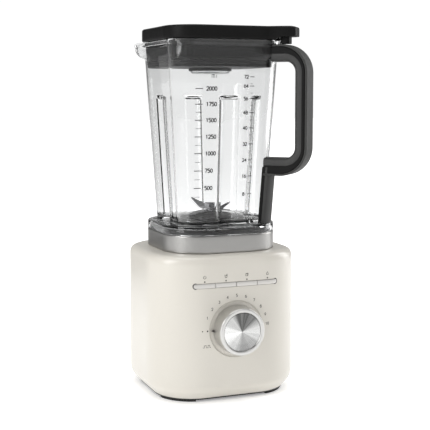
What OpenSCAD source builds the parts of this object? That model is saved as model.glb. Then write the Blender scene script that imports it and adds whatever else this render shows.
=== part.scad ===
// Countertop blender with a square clear jar, a corner handle and a dial on the front of its base.
// Millimetres. The drive's axis is Z, the counter is z = 0 and the front faces -Y.

/* [Base] */
// Width of the base across its front
base_w = 181.4; // [160:0.2:220]
// Depth of the base from front to back
base_d = 167.2; // [150:0.2:205]
// Corner radius of the base seen from above
base_r = 57; // [48:0.5:62]
// Height of the base's shoulder, which the metal band stands on
shoulder_z = 170.4; // [140:0.2:205]
// Inset of the slope round the foot of the base
foot_inset = 10.6; // [6:0.2:12]
// Wall thickness of the housing
shell = 3; // [2.5:0.1:3.4]

/* [Band and deck] */
// Width of the metal band, which is square
band_w = 138.6; // [134:0.2:166]
// Corner radius of the band
band_r = 47; // [44:0.5:52]
// Height of the band
band_h = 20.8; // [19:0.2:25]

/* [Controls] */
// Radius of the knob at its foot
knob_r = 28; // [23:0.2:33]
// How far the knob stands out from the front
knob_out = 19.5; // [16:0.1:24]
// Length of the row of four buttons
row_w = 103.2; // [86:0.2:106]
// Height of the buttons
row_h = 5.5; // [5:0.1:6.6]
// How far a button is pressed
button_travel = 1.2; // [0.8:0.1:1.3]

/* [Drive] */
// Radius of the motor's shaft and of the blade's shaft
shaft_r = 4; // [3.3:0.1:4.8]
// Radius of the armature
armature_r = 24; // [20:0.2:29]
// Outer radius of the dogs on the two halves of the drive coupling
dog_r = 13; // [10.8:0.1:15.6]
// Radial clearance of the running fits
fit = 0.05; // [0.02:0.01:0.09]

/* [Jar] */
// Height of the jar from the top of its skirt to its rim
jar_h = 213; // [177:0.5:256]
// Width of the jar at its rim
jar_w = 136.4; // [128:0.2:150]
// Width of the jar at its foot
jar_foot_w = 110.2; // [104:0.2:116]
// Corner radius of the jar at its rim
jar_r = 28; // [24:0.5:32]
// Wall thickness of the jar
jar_wall = 3.2; // [2.6:0.1:3.8]
// Radius of the upright flutes, one in each side
flute_r = 13; // [11:0.2:15]

/* [Handle] */
// How far the grip stands out from the jar's corner
handle_out = 41; // [38:0.5:49]
// Width of the handle
handle_w = 24; // [20:0.5:28]
// Height of the opening for the fingers
grip_h = 110.7; // [92:0.5:112]

/* [Lid] */
// How far the lid's edge stands past the jar's rim
lid_over = 3.2; // [2:0.1:5]
// Radius of the filler cap
cap_r = 27; // [22.4:0.1:32.4]
// How deep the lid's plug reaches into the jar
plug_h = 33.8; // [29:0.2:40]

/* [Hidden] */
$fn = 96;
eps = 0.01;

// Heights in the base. What is inside the base is spaced in proportion to the shoulder's height.
mz = shoulder_z / 170.4;
plate_low = 2.4;
skin_low = 4.1;
plate_top = 7;
slope_top = 17.9;
shoulder_f = 7;
knob_z = 84.8 * mz;
row_z = 136.7 * mz;
front_y = -base_d / 2;
rear_y = base_d / 2;
corner_x = base_w / 2 - base_r;
corner_y = base_d / 2 - base_r;

// Band, deck and drive well
band_z = shoulder_z + band_h;
band_t = 2.2;
deck_top = band_z - 4.2;
deck_w = band_w - 2 * band_t - 0.4;
deck_r = band_r - band_t - 0.2;
well_r = 32;
well_floor = shoulder_z + 1.6;

gland_z = 30;

// Controls
recess_d = 1.6;
recess_r = knob_r + 5;
knob_back = front_y + recess_d - 0.4;
knob_front = front_y - knob_out;
disc_r = knob_r - 5.3;
button_w = row_w / 4;
board_y = front_y + 13.6;

// Jar heights
skirt_h = 10.3;
jar_z = band_z + skirt_h;
rim_z = jar_z + jar_h;
lean = (jar_w - jar_foot_w) / 2 / jar_h;
floor_t = 3.5;
floor_z = jar_z + floor_t;
flute_top = rim_z - 67.5;
flute_in = 6.93;

// Blade unit heights
flange_z = floor_z + 1;
hub_top = flange_z + 6;
blade_z = hub_top + 0.5;
socket_top = band_z - 0.9;
dog_low = well_floor + 7;
dog_high = band_z - 3.2;

// Handle, measured outwards along the jar's corner
corner_reach = jar_w / 2 * sqrt(2) - jar_r * (sqrt(2) - 1);
grip_out = corner_reach + handle_out;
grip_in = grip_out - 15.5;
handle_top = rim_z - 4.7;
grip_top = rim_z - 24.8;
grip_low = grip_top - grip_h;
handle_low = grip_low - 21;
bend = 33;
inner_bend = 12;

// Lid heights
lid_low = rim_z + 0.4;
lid_top = rim_z + 15.4;
lid_r = jar_r + 7;
lid_edge = 2.4;
plug_z = rim_z - plug_h;

// Rounded rectangle seen from above
module plan(w, d, r) {
  square([w - 2 * r, d], center = true);
  square([w, d - 2 * r], center = true);
  for (x = [-1, 1])
    for (y = [-1, 1])
      translate([x * (w / 2 - r), y * (d / 2 - r)])
        circle(r);
}

// Takes a side profile round a rounded rectangle. The profile's x runs out from a corner's centre.
module swept(w, d, r) {
  ax = w / 2 - r;
  ay = d / 2 - r;
  for (i = [0:3])
    translate([(i == 0 || i == 3 ? ax : -ax), (i < 2 ? ay : -ay), 0])
      rotate([0, 0, 90 * i])
        rotate_extrude(angle = 90)
          children();
  for (a = [0, 180]) {
    rotate([0, 0, a])
      translate([-ax, ay, 0])
        rotate([90, 0, 90])
          linear_extrude(2 * ax)
            children();
    rotate([0, 0, a + 90])
      translate([-ay, ax, 0])
        rotate([90, 0, 90])
          linear_extrude(2 * ay)
            children();
  }
}

// Upright block with a rounded rectangle for its plan
module slab(w, d, r, z0, z1) {
  translate([0, 0, z0])
    linear_extrude(z1 - z0)
      plan(w, d, r);
}

// Square body whose four sides lean out from one point, with corners that are cones from that point.
// half and corner are measured at height at.
module leaning(half, corner, at, z0, z1) {
  apex = at - half / lean;
  c = lean * (1 - corner / half);
  side = c / (1 + lean * (c - lean) / (1 + lean * lean));
  grow = asin((lean - c) / (sqrt(1 + lean * lean) * sqrt(1 + 2 * c * c)));
  reach = (z1 - apex) * 1.02;
  intersection() {
    translate([-150, -150, z0])
      cube([300, 300, z1 - z0]);
    union() {
      for (i = [0:3])
        translate([0, 0, apex])
          rotate([0, atan(c * sqrt(2)), 45 + 90 * i])
            cylinder(h = reach, r1 = 0, r2 = reach * tan(grow));
      for (i = [0:1])
        rotate([0, 0, 90 * i])
          intersection() {
            wedge(lean, apex, z0, z1);
            rotate([0, 0, 90])
              wedge(side, apex, z0, z1);
          }
    }
  }
}

// Long block whose two sides spread from a point at height apex
module wedge(slope, apex, z0, z1) {
  a = slope * (z0 - apex);
  b = slope * (z1 - apex);
  translate([0, 100, 0])
    rotate([90, 0, 0])
      linear_extrude(200)
        polygon([[-a, z0], [a, z0], [b, z1], [-b, z1]]);
}

// The jar's outside, or with a negative value the same shape that far inside it
module jar_form(grow, z0, z1) {
  leaning(jar_w / 2 + grow, jar_r + grow, rim_z, z0, z1);
}

// The four flutes, which lean with the jar's sides
module flutes(r, z1) {
  for (i = [0:3])
    rotate([0, 0, 90 * i])
      translate([jar_w / 2 + flute_in - lean * (rim_z - z1), 0, z1])
        rotate([0, atan(lean), 0])
          translate([0, 0, -jar_h])
            cylinder(h = jar_h, r = r);
}

// Turns a shape so that its +X runs out along the corner that carries the handle
module at_handle() {
  rotate([0, 0, -45])
    children();
}

// Cylinder along Y from y0 to y1
module rod_y(r, y0, y1) {
  translate([0, y1, 0])
    rotate([90, 0, 0])
      cylinder(h = y1 - y0, r = r);
}

// Ring round Z
module ring(ro, ri, z0, z1) {
  translate([0, 0, z0])
    difference() {
      cylinder(h = z1 - z0, r = ro);
      translate([0, 0, -1])
        cylinder(h = z1 - z0 + 2, r = ri);
    }
}

// Side profile of the housing's outside
module housing_profile() {
  r = base_r;
  s = shoulder_z;
  f = shoulder_f;
  polygon([[0, skin_low], [r - foot_inset, skin_low], [r, slope_top], [r, s - f], [r - f, s], [0, s]]);
  translate([r - f, s - f])
    circle(f);
}

// Side profile of the housing's hollow
module hollow_profile() {
  r = base_r;
  s = shoulder_z;
  f = shoulder_f;
  t = shell;
  polygon([
    [0, 0], [r - foot_inset - t, 0], [r - foot_inset - t, skin_low], [r - t, slope_top + 0.6],
    [r - t, s - f], [r - f, s - t], [0, s - t]
  ]);
  translate([r - f, s - f])
    circle(f - t);
}

// Outline of the slot that the four buttons share, seen from the front
module row_outline(gap) {
  h = row_h - 2 * gap;
  square([row_w - row_h, h], center = true);
  for (x = [-1, 1])
    translate([x * (row_w - row_h) / 2, 0])
      circle(h / 2);
}

module housing() {
  color([0.85, 0.81, 0.76])
    difference() {
      union() {
        difference() {
          union() {
            swept(base_w, base_d, base_r)
              housing_profile();
            slab(2 * corner_x + 1, 2 * corner_y + 1, 0.4, skin_low, shoulder_z);
            slab(deck_w, deck_w, deck_r, shoulder_z - 1, deck_top);
          }
          swept(base_w, base_d, base_r)
            hollow_profile();
          slab(2 * corner_x + 1, 2 * corner_y + 1, 0.4, 0, shoulder_z - shell);
          slab(deck_w - 7, deck_w - 7, deck_r - 3.5, shoulder_z - shell - 1, deck_top - 3);
        }
        // Wall and floor of the drive well
        translate([0, 0, well_floor - 3])
          cylinder(h = deck_top - well_floor + 3 - eps, r = well_r + 2.6);
        // Thicker pad behind the dial
        translate([0, 0, knob_z])
          rod_y(recess_r + 2.6, front_y + 2, front_y + 6);
        // Two blocks that carry the control board
        for (x = [-1, 1])
          translate([x * (row_w / 2 - 6) - 3, front_y + 2, row_z - 8])
            cube([6, board_y - front_y - 2, 3]);
        // Four screw posts for the base plate, each on a rib from the corner's wall
        for (x = [-1, 1])
          for (y = [-1, 1])
            translate([x * (corner_x + 24), y * (corner_y + 24), plate_top + 0.05]) {
              cylinder(h = 20, r = 4.5);
              rotate([0, 0, 90 - x * y * 45 + (y < 0 ? 180 : 0)])
                translate([0, -1.5, 13])
                  cube([base_r - 24 * sqrt(2) - 1.5, 3, 7]);
            }
      }
      translate([0, 0, well_floor])
        cylinder(h = 60, r = well_r);
      translate([0, 0, well_floor - 10])
        cylinder(h = 20, r = shaft_r + 3);
      translate([0, 0, knob_z])
        rod_y(recess_r, front_y - 1, front_y + recess_d);
      translate([0, 0, knob_z])
        rod_y(5, front_y - 1, front_y + 10);
      translate([0, front_y + 12, row_z])
        rotate([90, 0, 0])
          linear_extrude(20)
            row_outline(0);
      for (i = [0:3])
        translate([(i - 1.5) * button_w, 0, row_z + 4.8])
          rod_y(0.95, front_y - 1, front_y + 8);
      translate([0, 0, gland_z])
        rod_y(7, rear_y - 10, rear_y + 1);
      for (x = [-1, 1])
        for (y = [-1, 1])
          translate([x * (corner_x + 24), y * (corner_y + 24), 0])
            cylinder(h = 22, r = 1.7);
    }
}

module base_plate() {
  w = base_w - 2 * foot_inset;
  d = base_d - 2 * foot_inset;
  r = base_r - foot_inset;
  color([0.09, 0.09, 0.09])
    difference() {
      union() {
        slab(w - 2.4, d - 2.4, r - 1.2, plate_low, skin_low);
        slab(w - 2 * shell - 0.6, d - 2 * shell - 0.6, r - shell - 0.3, skin_low - eps, plate_top);
      }
      // Air slots, drawn in under the fan and let out at both sides
      for (x = [-1, 1])
        for (i = [0:5])
          translate([x * 58 - 1.6, -26 + i * 10 - 1.5, 0])
            cube([3.2, 3, 20]);
      for (i = [0:11])
        rotate([0, 0, 30 * i])
          translate([14, -1.6, 0])
            cube([16, 3.2, 20]);
      for (x = [-1, 1])
        for (y = [-1, 1])
          translate([x * (corner_x + 24), y * (corner_y + 24), 0]) {
            cylinder(h = 20, r = 1.9);
            cylinder(h = plate_low + 2, r = 3.7);
          }
    }
}

// Curved rubber pad under one corner of the base
module foot(i) {
  r = base_r - foot_inset - 2;
  color([0.07, 0.07, 0.07])
    translate([(i % 2 == 0 ? -corner_x : corner_x), (i < 2 ? -corner_y : corner_y), 0])
      rotate([0, 0, (i == 0 ? 225 : i == 1 ? 315 : i == 2 ? 135 : 45) - 31])
        rotate_extrude(angle = 62)
          translate([r - 8, 0])
            square([8, plate_low]);
}

// Rubber ring that keeps the warm air let out below apart from the air drawn in
module vent_ring() {
  color([0.08, 0.08, 0.08])
    ring(39, 36, 0, plate_low);
}

module plate_screw(x, y) {
  color([0.6, 0.6, 0.6])
    translate([x * (corner_x + 24), y * (corner_y + 24), 0])
      difference() {
        union() {
          translate([0, 0, plate_low + 0.3])
            cylinder(h = 1.7, r = 3.3);
          translate([0, 0, plate_low + 1])
            cylinder(h = 15, r = 1.6);
        }
        for (a = [0, 90])
          rotate([0, 0, a])
            translate([-1.8, -0.4, 0])
              cube([3.6, 0.8, plate_low + 1.2]);
      }
}

module deck_band() {
  color([0.56, 0.56, 0.56])
    swept(band_w, band_w, band_r) {
      translate([band_r - band_t, shoulder_z])
        square([band_t, band_h - 0.6]);
      translate([band_r - band_t, shoulder_z])
        square([band_t - 0.6, band_h]);
      translate([band_r - 0.6, band_z - 0.6])
        circle(0.6);
    }
}

module deck_pad() {
  color([0.06, 0.06, 0.06])
    difference() {
      slab(deck_w, deck_w, deck_r, deck_top, band_z - 1);
      translate([0, 0, deck_top - 1])
        cylinder(h = 20, r = well_r + 1);
      for (s = [0, 180])
        rotate([0, 0, s + 45])
          translate([well_r + 8, -5, deck_top + 1.4])
            cube([9, 10, 20]);
    }
}

// Lip seal where the shaft comes up through the floor of the well
module well_seal() {
  color([0.12, 0.12, 0.12]) {
    ring(shaft_r + 2.95, shaft_r + 0.35, well_floor - 3, well_floor + eps);
    ring(shaft_r + 6, shaft_r + 0.35, well_floor, well_floor + 1.2);
  }
}

module cord_gland() {
  color([0.1, 0.1, 0.1])
    translate([0, 0, gland_z])
      difference() {
        union() {
          rod_y(6.9, rear_y - 6, rear_y + 0.5);
          rod_y(9, rear_y + 0.05, rear_y + 3);
          rod_y(9, rear_y - shell - 3, rear_y - shell - 0.05);
        }
        rod_y(3.6, rear_y - 10, rear_y + 10);
      }
}

module field_stack() {
  color([0.45, 0.45, 0.47])
    difference() {
      translate([0, 0, 56 * mz])
        intersection() {
          cylinder(h = 50 * mz, r = armature_r + 20);
          translate([-armature_r - 16, -armature_r - 13, 0])
            cube([2 * armature_r + 32, 2 * armature_r + 26, 50 * mz]);
        }
      translate([0, 0, 50 * mz])
        cylinder(h = 70 * mz, r = armature_r + 0.6);
      // Two slots where the coils lie
      for (s = [-1, 1])
        translate([s * (armature_r + 5) - 6, -20, 50 * mz])
          cube([12, 40, 70 * mz]);
    }
}

// Two coils of wire through the stack's slots, joined by a lead ring above it
module field_coils() {
  color([0.72, 0.4, 0.2])
    difference() {
      union() {
        for (s = [-1, 1])
          translate([s * (armature_r + 5) - 5.6, -19.6, 51 * mz])
            cube([11.2, 39.2, 60 * mz]);
        ring(armature_r + 5, armature_r, 107 * mz, 110 * mz);
      }
      translate([0, 0, 50 * mz])
        cylinder(h = 70 * mz, r = armature_r + 0.6);
    }
}

// Bearing bracket with a hub on the axis, four legs and pads that meet the field stack
module bracket(z0, z1, leg0, leg1) {
  difference() {
    union() {
      translate([0, 0, z0])
        linear_extrude(z1 - z0)
          plan(84, 2 * armature_r + 20, 8);
      translate([0, 0, z0 - 4])
        cylinder(h = z1 - z0 + 8, r = shaft_r + 8);
      for (x = [-1, 1])
        for (y = [-1, 1])
          translate([x * (armature_r + 8), y * (armature_r + 4), leg0])
            cylinder(h = leg1 - leg0, r = 4);
    }
    translate([0, 0, z0 - 10])
      cylinder(h = z1 - z0 + 20, r = shaft_r + fit);
  }
}

module lower_bracket() {
  color([0.62, 0.62, 0.64])
    bracket(34 * mz, 38 * mz, 36 * mz, 56 * mz);
}

module upper_bracket() {
  color([0.62, 0.62, 0.64])
    bracket(140 * mz, 144 * mz, 106 * mz, 142 * mz);
}

// Rubber mount between the base plate and the lower bracket
module motor_mount(x, y) {
  color([0.1, 0.1, 0.1])
    translate([x * 36, y * (armature_r + 4), 0]) {
      translate([0, 0, plate_top])
        cylinder(h = 34 * mz - plate_top, r = 5);
      translate([0, 0, plate_top])
        cylinder(h = 4, r = 6.5);
    }
}

// Carbon brush in its holder, hanging from the upper bracket beside the commutator
module brush(s) {
  color([0.75, 0.6, 0.3])
    rotate([0, 0, s > 0 ? 90 : -90]) {
      translate([14.3, -3, 117 * mz])
        cube([9, 6, 8 * mz]);
      translate([17, -4.5, 115.5 * mz])
        cube([12, 9, 11 * mz]);
      translate([23, -4.5, 115.5 * mz])
        cube([6, 9, 24.5 * mz]);
    }
}

// Circuit board behind the buttons with one push switch behind each
module control_board() {
  color([0.1, 0.35, 0.2]) {
    translate([-row_w / 2 - 2, board_y, row_z - 8])
      cube([row_w + 4, 1.6, 15]);
    for (i = [0:3])
      translate([(i - 1.5) * button_w, 0, row_z]) {
        translate([-3, board_y - 2.4, -3])
          cube([6, 2.4 + eps, 6]);
        rod_y(1.6, front_y + 9.7, board_y - 2);
      }
  }
}

// Clear bar on the board whose four pins show as lamps above the buttons
module light_pipe() {
  color([0.9, 0.9, 0.88, 0.6])
    translate([0, 0, row_z + 4.8]) {
      translate([-1.5 * button_w - 2, front_y + 3.8, -1])
        cube([3 * button_w + 4, 2.2, 2]);
      for (x = [-1, 1])
        translate([x * button_w * 1.2 - 2, front_y + 5, -1])
          cube([4, board_y - front_y - 5, 2]);
      for (i = [0:3])
        translate([(i - 1.5) * button_w, 0, 0])
          rod_y(0.9, front_y + 0.3, front_y + 5);
    }
}

// Rotary switch that the knob turns
module dial_switch() {
  color([0.15, 0.15, 0.16])
    translate([0, 0, knob_z])
      difference() {
        union() {
          rod_y(12, front_y + 10, front_y + 22);
          rod_y(6, front_y + 6, front_y + 11);
          translate([-9, front_y + 12, -15])
            cube([18, 8, 15]);
        }
        rod_y(3 + fit, front_y + 5, front_y + 19);
      }
}

module motor_shaft() {
  color([0.75, 0.75, 0.77])
    translate([0, 0, 11 * mz])
      cylinder(h = shoulder_z + 7 - 11 * mz, r = shaft_r);
}

module armature() {
  color([0.5, 0.42, 0.36]) {
    difference() {
      translate([0, 0, 56 * mz])
        cylinder(h = 50 * mz, r = armature_r);
      for (i = [0:11])
        rotate([0, 0, 30 * i])
          translate([armature_r - 8, -1.2, 50 * mz])
            cube([10, 2.4, 70 * mz]);
      translate([0, 0, 50 * mz])
        cylinder(h = 80 * mz, r = shaft_r);
    }
    ring(armature_r - 7, shaft_r, 50 * mz, 56 * mz + eps);
    ring(armature_r - 7, shaft_r, 106 * mz - eps, 111 * mz);
    // Commutator with its twelve bars
    difference() {
      ring(14, shaft_r, 111 * mz - eps, 128 * mz);
      for (i = [0:11])
        rotate([0, 0, 30 * i + 15])
          translate([13, -0.3, 112 * mz])
            cube([3, 0.6, 20 * mz]);
    }
  }
}

// Fan at the foot of the shaft with curved blades on a disc
module fan() {
  color([0.2, 0.2, 0.22])
    difference() {
      union() {
        translate([0, 0, 24 * mz])
          cylinder(h = 2, r = 28);
        translate([0, 0, 14 * mz])
          cylinder(h = 10 * mz + 1, r = 9);
        for (i = [0:8])
          rotate([0, 0, 40 * i])
            translate([22, 0, 14 * mz])
              difference() {
                cylinder(h = 10 * mz + 1, r = 10);
                translate([0, 0, -1])
                  cylinder(h = 30, r = 8.6);
                translate([-20, -40, -1])
                  cube([40, 40, 30]);
                translate([6, -1, -1])
                  cube([20, 40, 30]);
              }
      }
      translate([0, 0, 10 * mz])
        cylinder(h = 20 * mz, r = shaft_r);
    }
}

// Four straight dogs round the axis, the first at angle a
module dogs(a, z0, z1) {
  for (i = [0:3])
    rotate([0, 0, a + 90 * i])
      translate([dog_r - 5, -2.2, z0])
        cube([5, 4.4, z1 - z0]);
}

// Lower half of the coupling, on the motor's shaft
module drive_coupler() {
  color([0.55, 0.55, 0.57])
    difference() {
      union() {
        translate([0, 0, well_floor + 2])
          cylinder(h = dog_low - well_floor - 2, r = dog_r + 1);
        dogs(0, dog_low - eps, dog_high - 1);
      }
      translate([0, 0, well_floor - 10])
        cylinder(h = shoulder_z + 17 - well_floor, r = shaft_r);
    }
}

module knob_shell() {
  h = knob_back - knob_front;
  color([0.78, 0.77, 0.75])
    translate([0, knob_back, knob_z])
      rotate([90, 0, 0])
        difference() {
          union() {
            cylinder(h = h, r1 = knob_r, r2 = knob_r - 0.9);
          }
          difference() {
            translate([0, 0, -1])
              cylinder(h = h - 6, r = knob_r - 3.4);
            cylinder(h = h, r = 6.4);
          }
          translate([0, 0, h - 3.6])
            cylinder(h = 10, r = disc_r + 0.05);
          translate([0, 0, -1])
            cylinder(h = h - 7, r = 3);
        }
}

// Dished metal disc let into the front of the knob
module knob_disc() {
  color([0.8, 0.8, 0.8])
    translate([0, 0, knob_z])
      difference() {
        rod_y(disc_r, knob_front + 0.4, knob_front + 3.6);
        translate([0, knob_front + 2.2, 0])
          rotate([90, 0, 0])
            cylinder(h = 1.8 + eps, r1 = 2, r2 = disc_r - 1);
      }
}

// Small tab at the knob's foot that points at the scale
module knob_pointer() {
  color([0.2, 0.19, 0.18])
    translate([0, 0, knob_z])
      difference() {
        translate([-knob_r - 3, knob_back - 2.6, -1.2])
          cube([4, 2.2, 2.4]);
        rod_y(knob_r + 0.02, knob_back - 5, knob_back + 2);
      }
}

module knob_shaft() {
  color([0.7, 0.7, 0.7])
    translate([0, 0, knob_z])
      rod_y(3, knob_front + 8, front_y + 18);
}

// Push button, numbered from the left. It has a lip behind the wall that keeps it in its slot.
module button(i) {
  x = (i - 1.5) * button_w;
  color([0.74, 0.73, 0.71])
    translate([0, 0, row_z]) {
      intersection() {
        translate([0, 0, -10])
          linear_extrude(20)
            plan(base_w + 0.8, base_d + 0.8, base_r + 0.4);
        translate([x, front_y + 7.9, 0])
          rotate([90, 0, 0])
            linear_extrude(20)
              intersection() {
                translate([-x, 0])
                  row_outline(0.15);
                square([button_w - 0.4, 20], center = true);
              }
      }
      translate([x - button_w / 2 + 0.6, front_y + 6.7, -row_h / 2 - 0.6])
        cube([button_w - 1.2, 1.5, row_h + 1.2]);
    }
}

module jar() {
  skirt_r = band_r;
  color([0.9, 0.92, 0.93, 0.35])
    difference() {
      union() {
        jar_form(0, jar_z - 1, rim_z);
        slab(band_w, band_w, skirt_r, band_z, jar_z);
        // Pouring lip
        at_handle()
          translate([-corner_reach + 4, 0, rim_z - 17])
            cylinder(h = 17, r1 = 7.5, r2 = 20.5);
        // Two lugs that the handle is screwed to
        at_handle() {
          translate([corner_reach - 12, -6, rim_z - 19.5])
            cube([23, 12, 10]);
          translate([corner_reach - 18, -6, handle_low + 6])
            cube([23, 12, 9]);
        }
      }
      difference() {
        union() {
          jar_form(-jar_wall, floor_z, rim_z + 1);
          at_handle()
            translate([-corner_reach + 4, 0, rim_z - 14])
              cylinder(h = 14 + eps, r1 = 6.5, r2 = 17.3);
        }
        flutes(flute_r + jar_wall, flute_top + jar_wall);
      }
      difference() {
        flutes(flute_r, flute_top);
        slab(band_w, band_w, skirt_r, band_z, jar_z);
      }
      slab(band_w - 6, band_w - 6, skirt_r - 3, band_z - 1, jar_z - 3);
      slab(jar_foot_w - 14, jar_foot_w - 14, 22, band_z - 1, jar_z);
      translate([0, 0, band_z])
        cylinder(h = 30, r = 15.2);
      at_handle() {
        translate([corner_reach + 3, 0, rim_z - 30])
          cylinder(h = 17, r = 1.5);
        translate([corner_reach - 4, 0, handle_low - 5])
          cylinder(h = 17, r = 1.5);
      }
    }
}

// Side view of the handle's outside, inset by i
module handle_outer(i) {
  x = grip_out - bend;
  translate([0, handle_low + i])
    square([x, handle_top - handle_low - 2 * i]);
  translate([0, handle_low + bend])
    square([grip_out - i, handle_top - handle_low - 2 * bend]);
  for (z = [handle_low + bend, handle_top - bend])
    translate([x, z])
      circle(bend - i);
}

// Side view of the opening for the fingers, grown by g
module handle_hole(g) {
  x = grip_in - inner_bend;
  translate([0, grip_low - g])
    square([x, grip_h + 2 * g]);
  translate([0, grip_low + inner_bend])
    square([grip_in + g, grip_h - 2 * inner_bend]);
  for (z = [grip_low + inner_bend, grip_top - inner_bend])
    translate([x, z])
      circle(inner_bend + g);
}

// Stands a side view up along the handle's corner, w wide
module handle_slice(w) {
  at_handle()
    translate([0, w / 2, 0])
      rotate([90, 0, 0])
        linear_extrude(w)
          children();
}

module handle_body() {
  face_x = corner_reach + 12;
  color([0.07, 0.07, 0.07])
    difference() {
      union() {
        difference() {
          handle_slice(handle_w)
            difference() {
              union() {
                handle_outer(2.5);
                intersection() {
                  handle_outer(0);
                  square([face_x, 1000]);
                }
              }
              handle_hole(0);
            }
          handle_slice(17.2)
            difference() {
              handle_hole(1.5);
              square([face_x + 0.2, 1000]);
            }
        }
        // Strap that runs down the jar's corner to the skirt
        intersection() {
          jar_form(4.7, jar_z + 0.3, handle_low + 12);
          at_handle()
            translate([40, -handle_w / 2, 0])
              cube([60, handle_w, 1000]);
        }
      }
      jar_form(0.2, jar_z - 20, rim_z + 1);
      // Pockets for the jar's lugs, and the screws' holes
      at_handle() {
        translate([corner_reach - 20, -6.2, rim_z - 19.7])
          cube([31.2, 12.4, 10.4]);
        translate([corner_reach - 25, -6.2, handle_low + 5.8])
          cube([30.2, 12.4, 9.4]);
        translate([corner_reach + 3, 0, grip_top - 1]) {
          cylinder(h = 8, r = 2.2);
          cylinder(h = 3, r = 4);
        }
        translate([corner_reach - 4, 0, handle_low - 1]) {
          cylinder(h = 8, r = 2.2);
          cylinder(h = 3, r = 4);
        }
      }
    }
}

// Outer skin of the grip, from the top arm round to the lower arm
module handle_face() {
  face_x = corner_reach + 12;
  color([0.2, 0.2, 0.2])
    handle_slice(handle_w)
      difference() {
        handle_outer(0);
        handle_outer(2.45);
        square([face_x + 0.1, 1000]);
      }
}

// Soft strip let into the inside of the grip
module handle_grip() {
  face_x = corner_reach + 12;
  color([0.3, 0.3, 0.3])
    handle_slice(17)
      difference() {
        handle_hole(1.45);
        handle_hole(0);
        square([face_x + 0.3, 1000]);
      }
}

module handle_screw(x, z) {
  color([0.65, 0.65, 0.65])
    at_handle()
      translate([x, 0, z])
        difference() {
          union() {
            cylinder(h = 1.8, r = 3.7);
            cylinder(h = 11, r = 1.5);
          }
          for (a = [0, 90])
            rotate([0, 0, a])
              translate([-2, -0.4, -1])
                cube([4, 0.8, 1.8]);
        }
}

module bearing_housing() {
  color([0.12, 0.12, 0.12])
    difference() {
      union() {
        translate([0, 0, band_z + 2])
          cylinder(h = flange_z - band_z, r = 15);
        translate([0, 0, flange_z])
          cylinder(h = 3, r = 26);
        translate([0, 0, flange_z + 3])
          cylinder(h = 1.5, r1 = 26, r2 = 16);
        translate([0, 0, flange_z])
          cylinder(h = 6, r = shaft_r + 7);
      }
      translate([0, 0, band_z])
        cylinder(h = 60, r = shaft_r + 3);
    }
}

// Sintered sleeve that the blade's shaft runs in
module bearing_bushing() {
  color([0.7, 0.55, 0.3])
    ring(shaft_r + 3, shaft_r + fit, band_z + 3, hub_top - 1);
}

module jar_seal() {
  color([0.5, 0.5, 0.5])
    ring(26, 15.3, floor_z, flange_z);
}

// Ring nut under the jar's floor with eight grips
module jar_nut() {
  color([0.1, 0.1, 0.1])
    difference() {
      union() {
        ring(34, 15.1, jar_z - 6, jar_z);
        ring(40, 20, jar_z - 2.6, jar_z);
      }
      for (i = [0:7])
        rotate([0, 0, 45 * i + 22.5])
          translate([34, 0, jar_z - 10])
            cylinder(h = 7.4, r = 4);
    }
}

module blade_shaft() {
  color([0.78, 0.78, 0.8])
    translate([0, 0, socket_top])
      cylinder(h = blade_z + 7 - socket_top, r = shaft_r);
}

// Flat steel arm with a swept point, from the axis along +X
module blade_arm(r0, r1, w, t) {
  linear_extrude(t)
    polygon([
      [r0, -w / 2], [r1 - 7, -w / 2 + 1.5], [r1, w / 2 - 1.2], [r1 - 1.5, w / 2], [r0, w / 2]
    ]);
}

module blade_lower() {
  color([0.62, 0.62, 0.64])
    translate([0, 0, blade_z])
      difference() {
        union() {
          cylinder(h = 1.8, r = 10);
          for (a = [0, 180])
            rotate([0, 0, a + 20]) {
              blade_arm(0, 17, 13, 1.8);
              translate([12, 0, 0.2])
                rotate([0, 8, 0])
                  blade_arm(0, 28, 12.2, 1.5);
            }
        }
        translate([0, 0, -5])
          cylinder(h = 10, r = shaft_r);
      }
}

module blade_upper() {
  color([0.66, 0.66, 0.68])
    translate([0, 0, blade_z + 1.9])
      difference() {
        union() {
          cylinder(h = 1.8, r = 10);
          for (a = [0, 180])
            rotate([0, 0, a + 100]) {
              blade_arm(0, 17, 12, 1.8);
              translate([12, 0, 0.2])
                rotate([0, -20, 0])
                  blade_arm(0, 27, 11.2, 1.5);
            }
        }
        translate([0, 0, -5])
          cylinder(h = 10, r = shaft_r);
      }
}

module blade_nut() {
  color([0.8, 0.8, 0.82])
    difference() {
      union() {
        translate([0, 0, blade_z + 3.8])
          cylinder(h = 1, r = 8);
        translate([0, 0, blade_z + 4.7])
          linear_extrude(5)
            circle(7.5, $fn = 6);
      }
      translate([0, 0, blade_z])
        cylinder(h = 7, r = shaft_r);
    }
}

// Upper half of the coupling, whose dogs drop between those of the lower half
module driven_coupler() {
  color([0.16, 0.16, 0.16])
    difference() {
      union() {
        translate([0, 0, dog_high])
          cylinder(h = band_z + 1.6 - dog_high, r = dog_r + 0.6);
        dogs(45, dog_low + 1.5, dog_high + eps);
      }
      translate([0, 0, socket_top])
        cylinder(h = 20, r = shaft_r);
    }
}

// The lid's tab over the handle, seen from above
module tab_plan() {
  translate([50, -15])
    square([corner_reach + 18 - 50, 30]);
  translate([50, -7.5])
    square([corner_reach + 25.5 - 50, 15]);
  for (y = [-1, 1])
    translate([corner_reach + 18, y * 7.5])
      circle(7.5);
}

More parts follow.
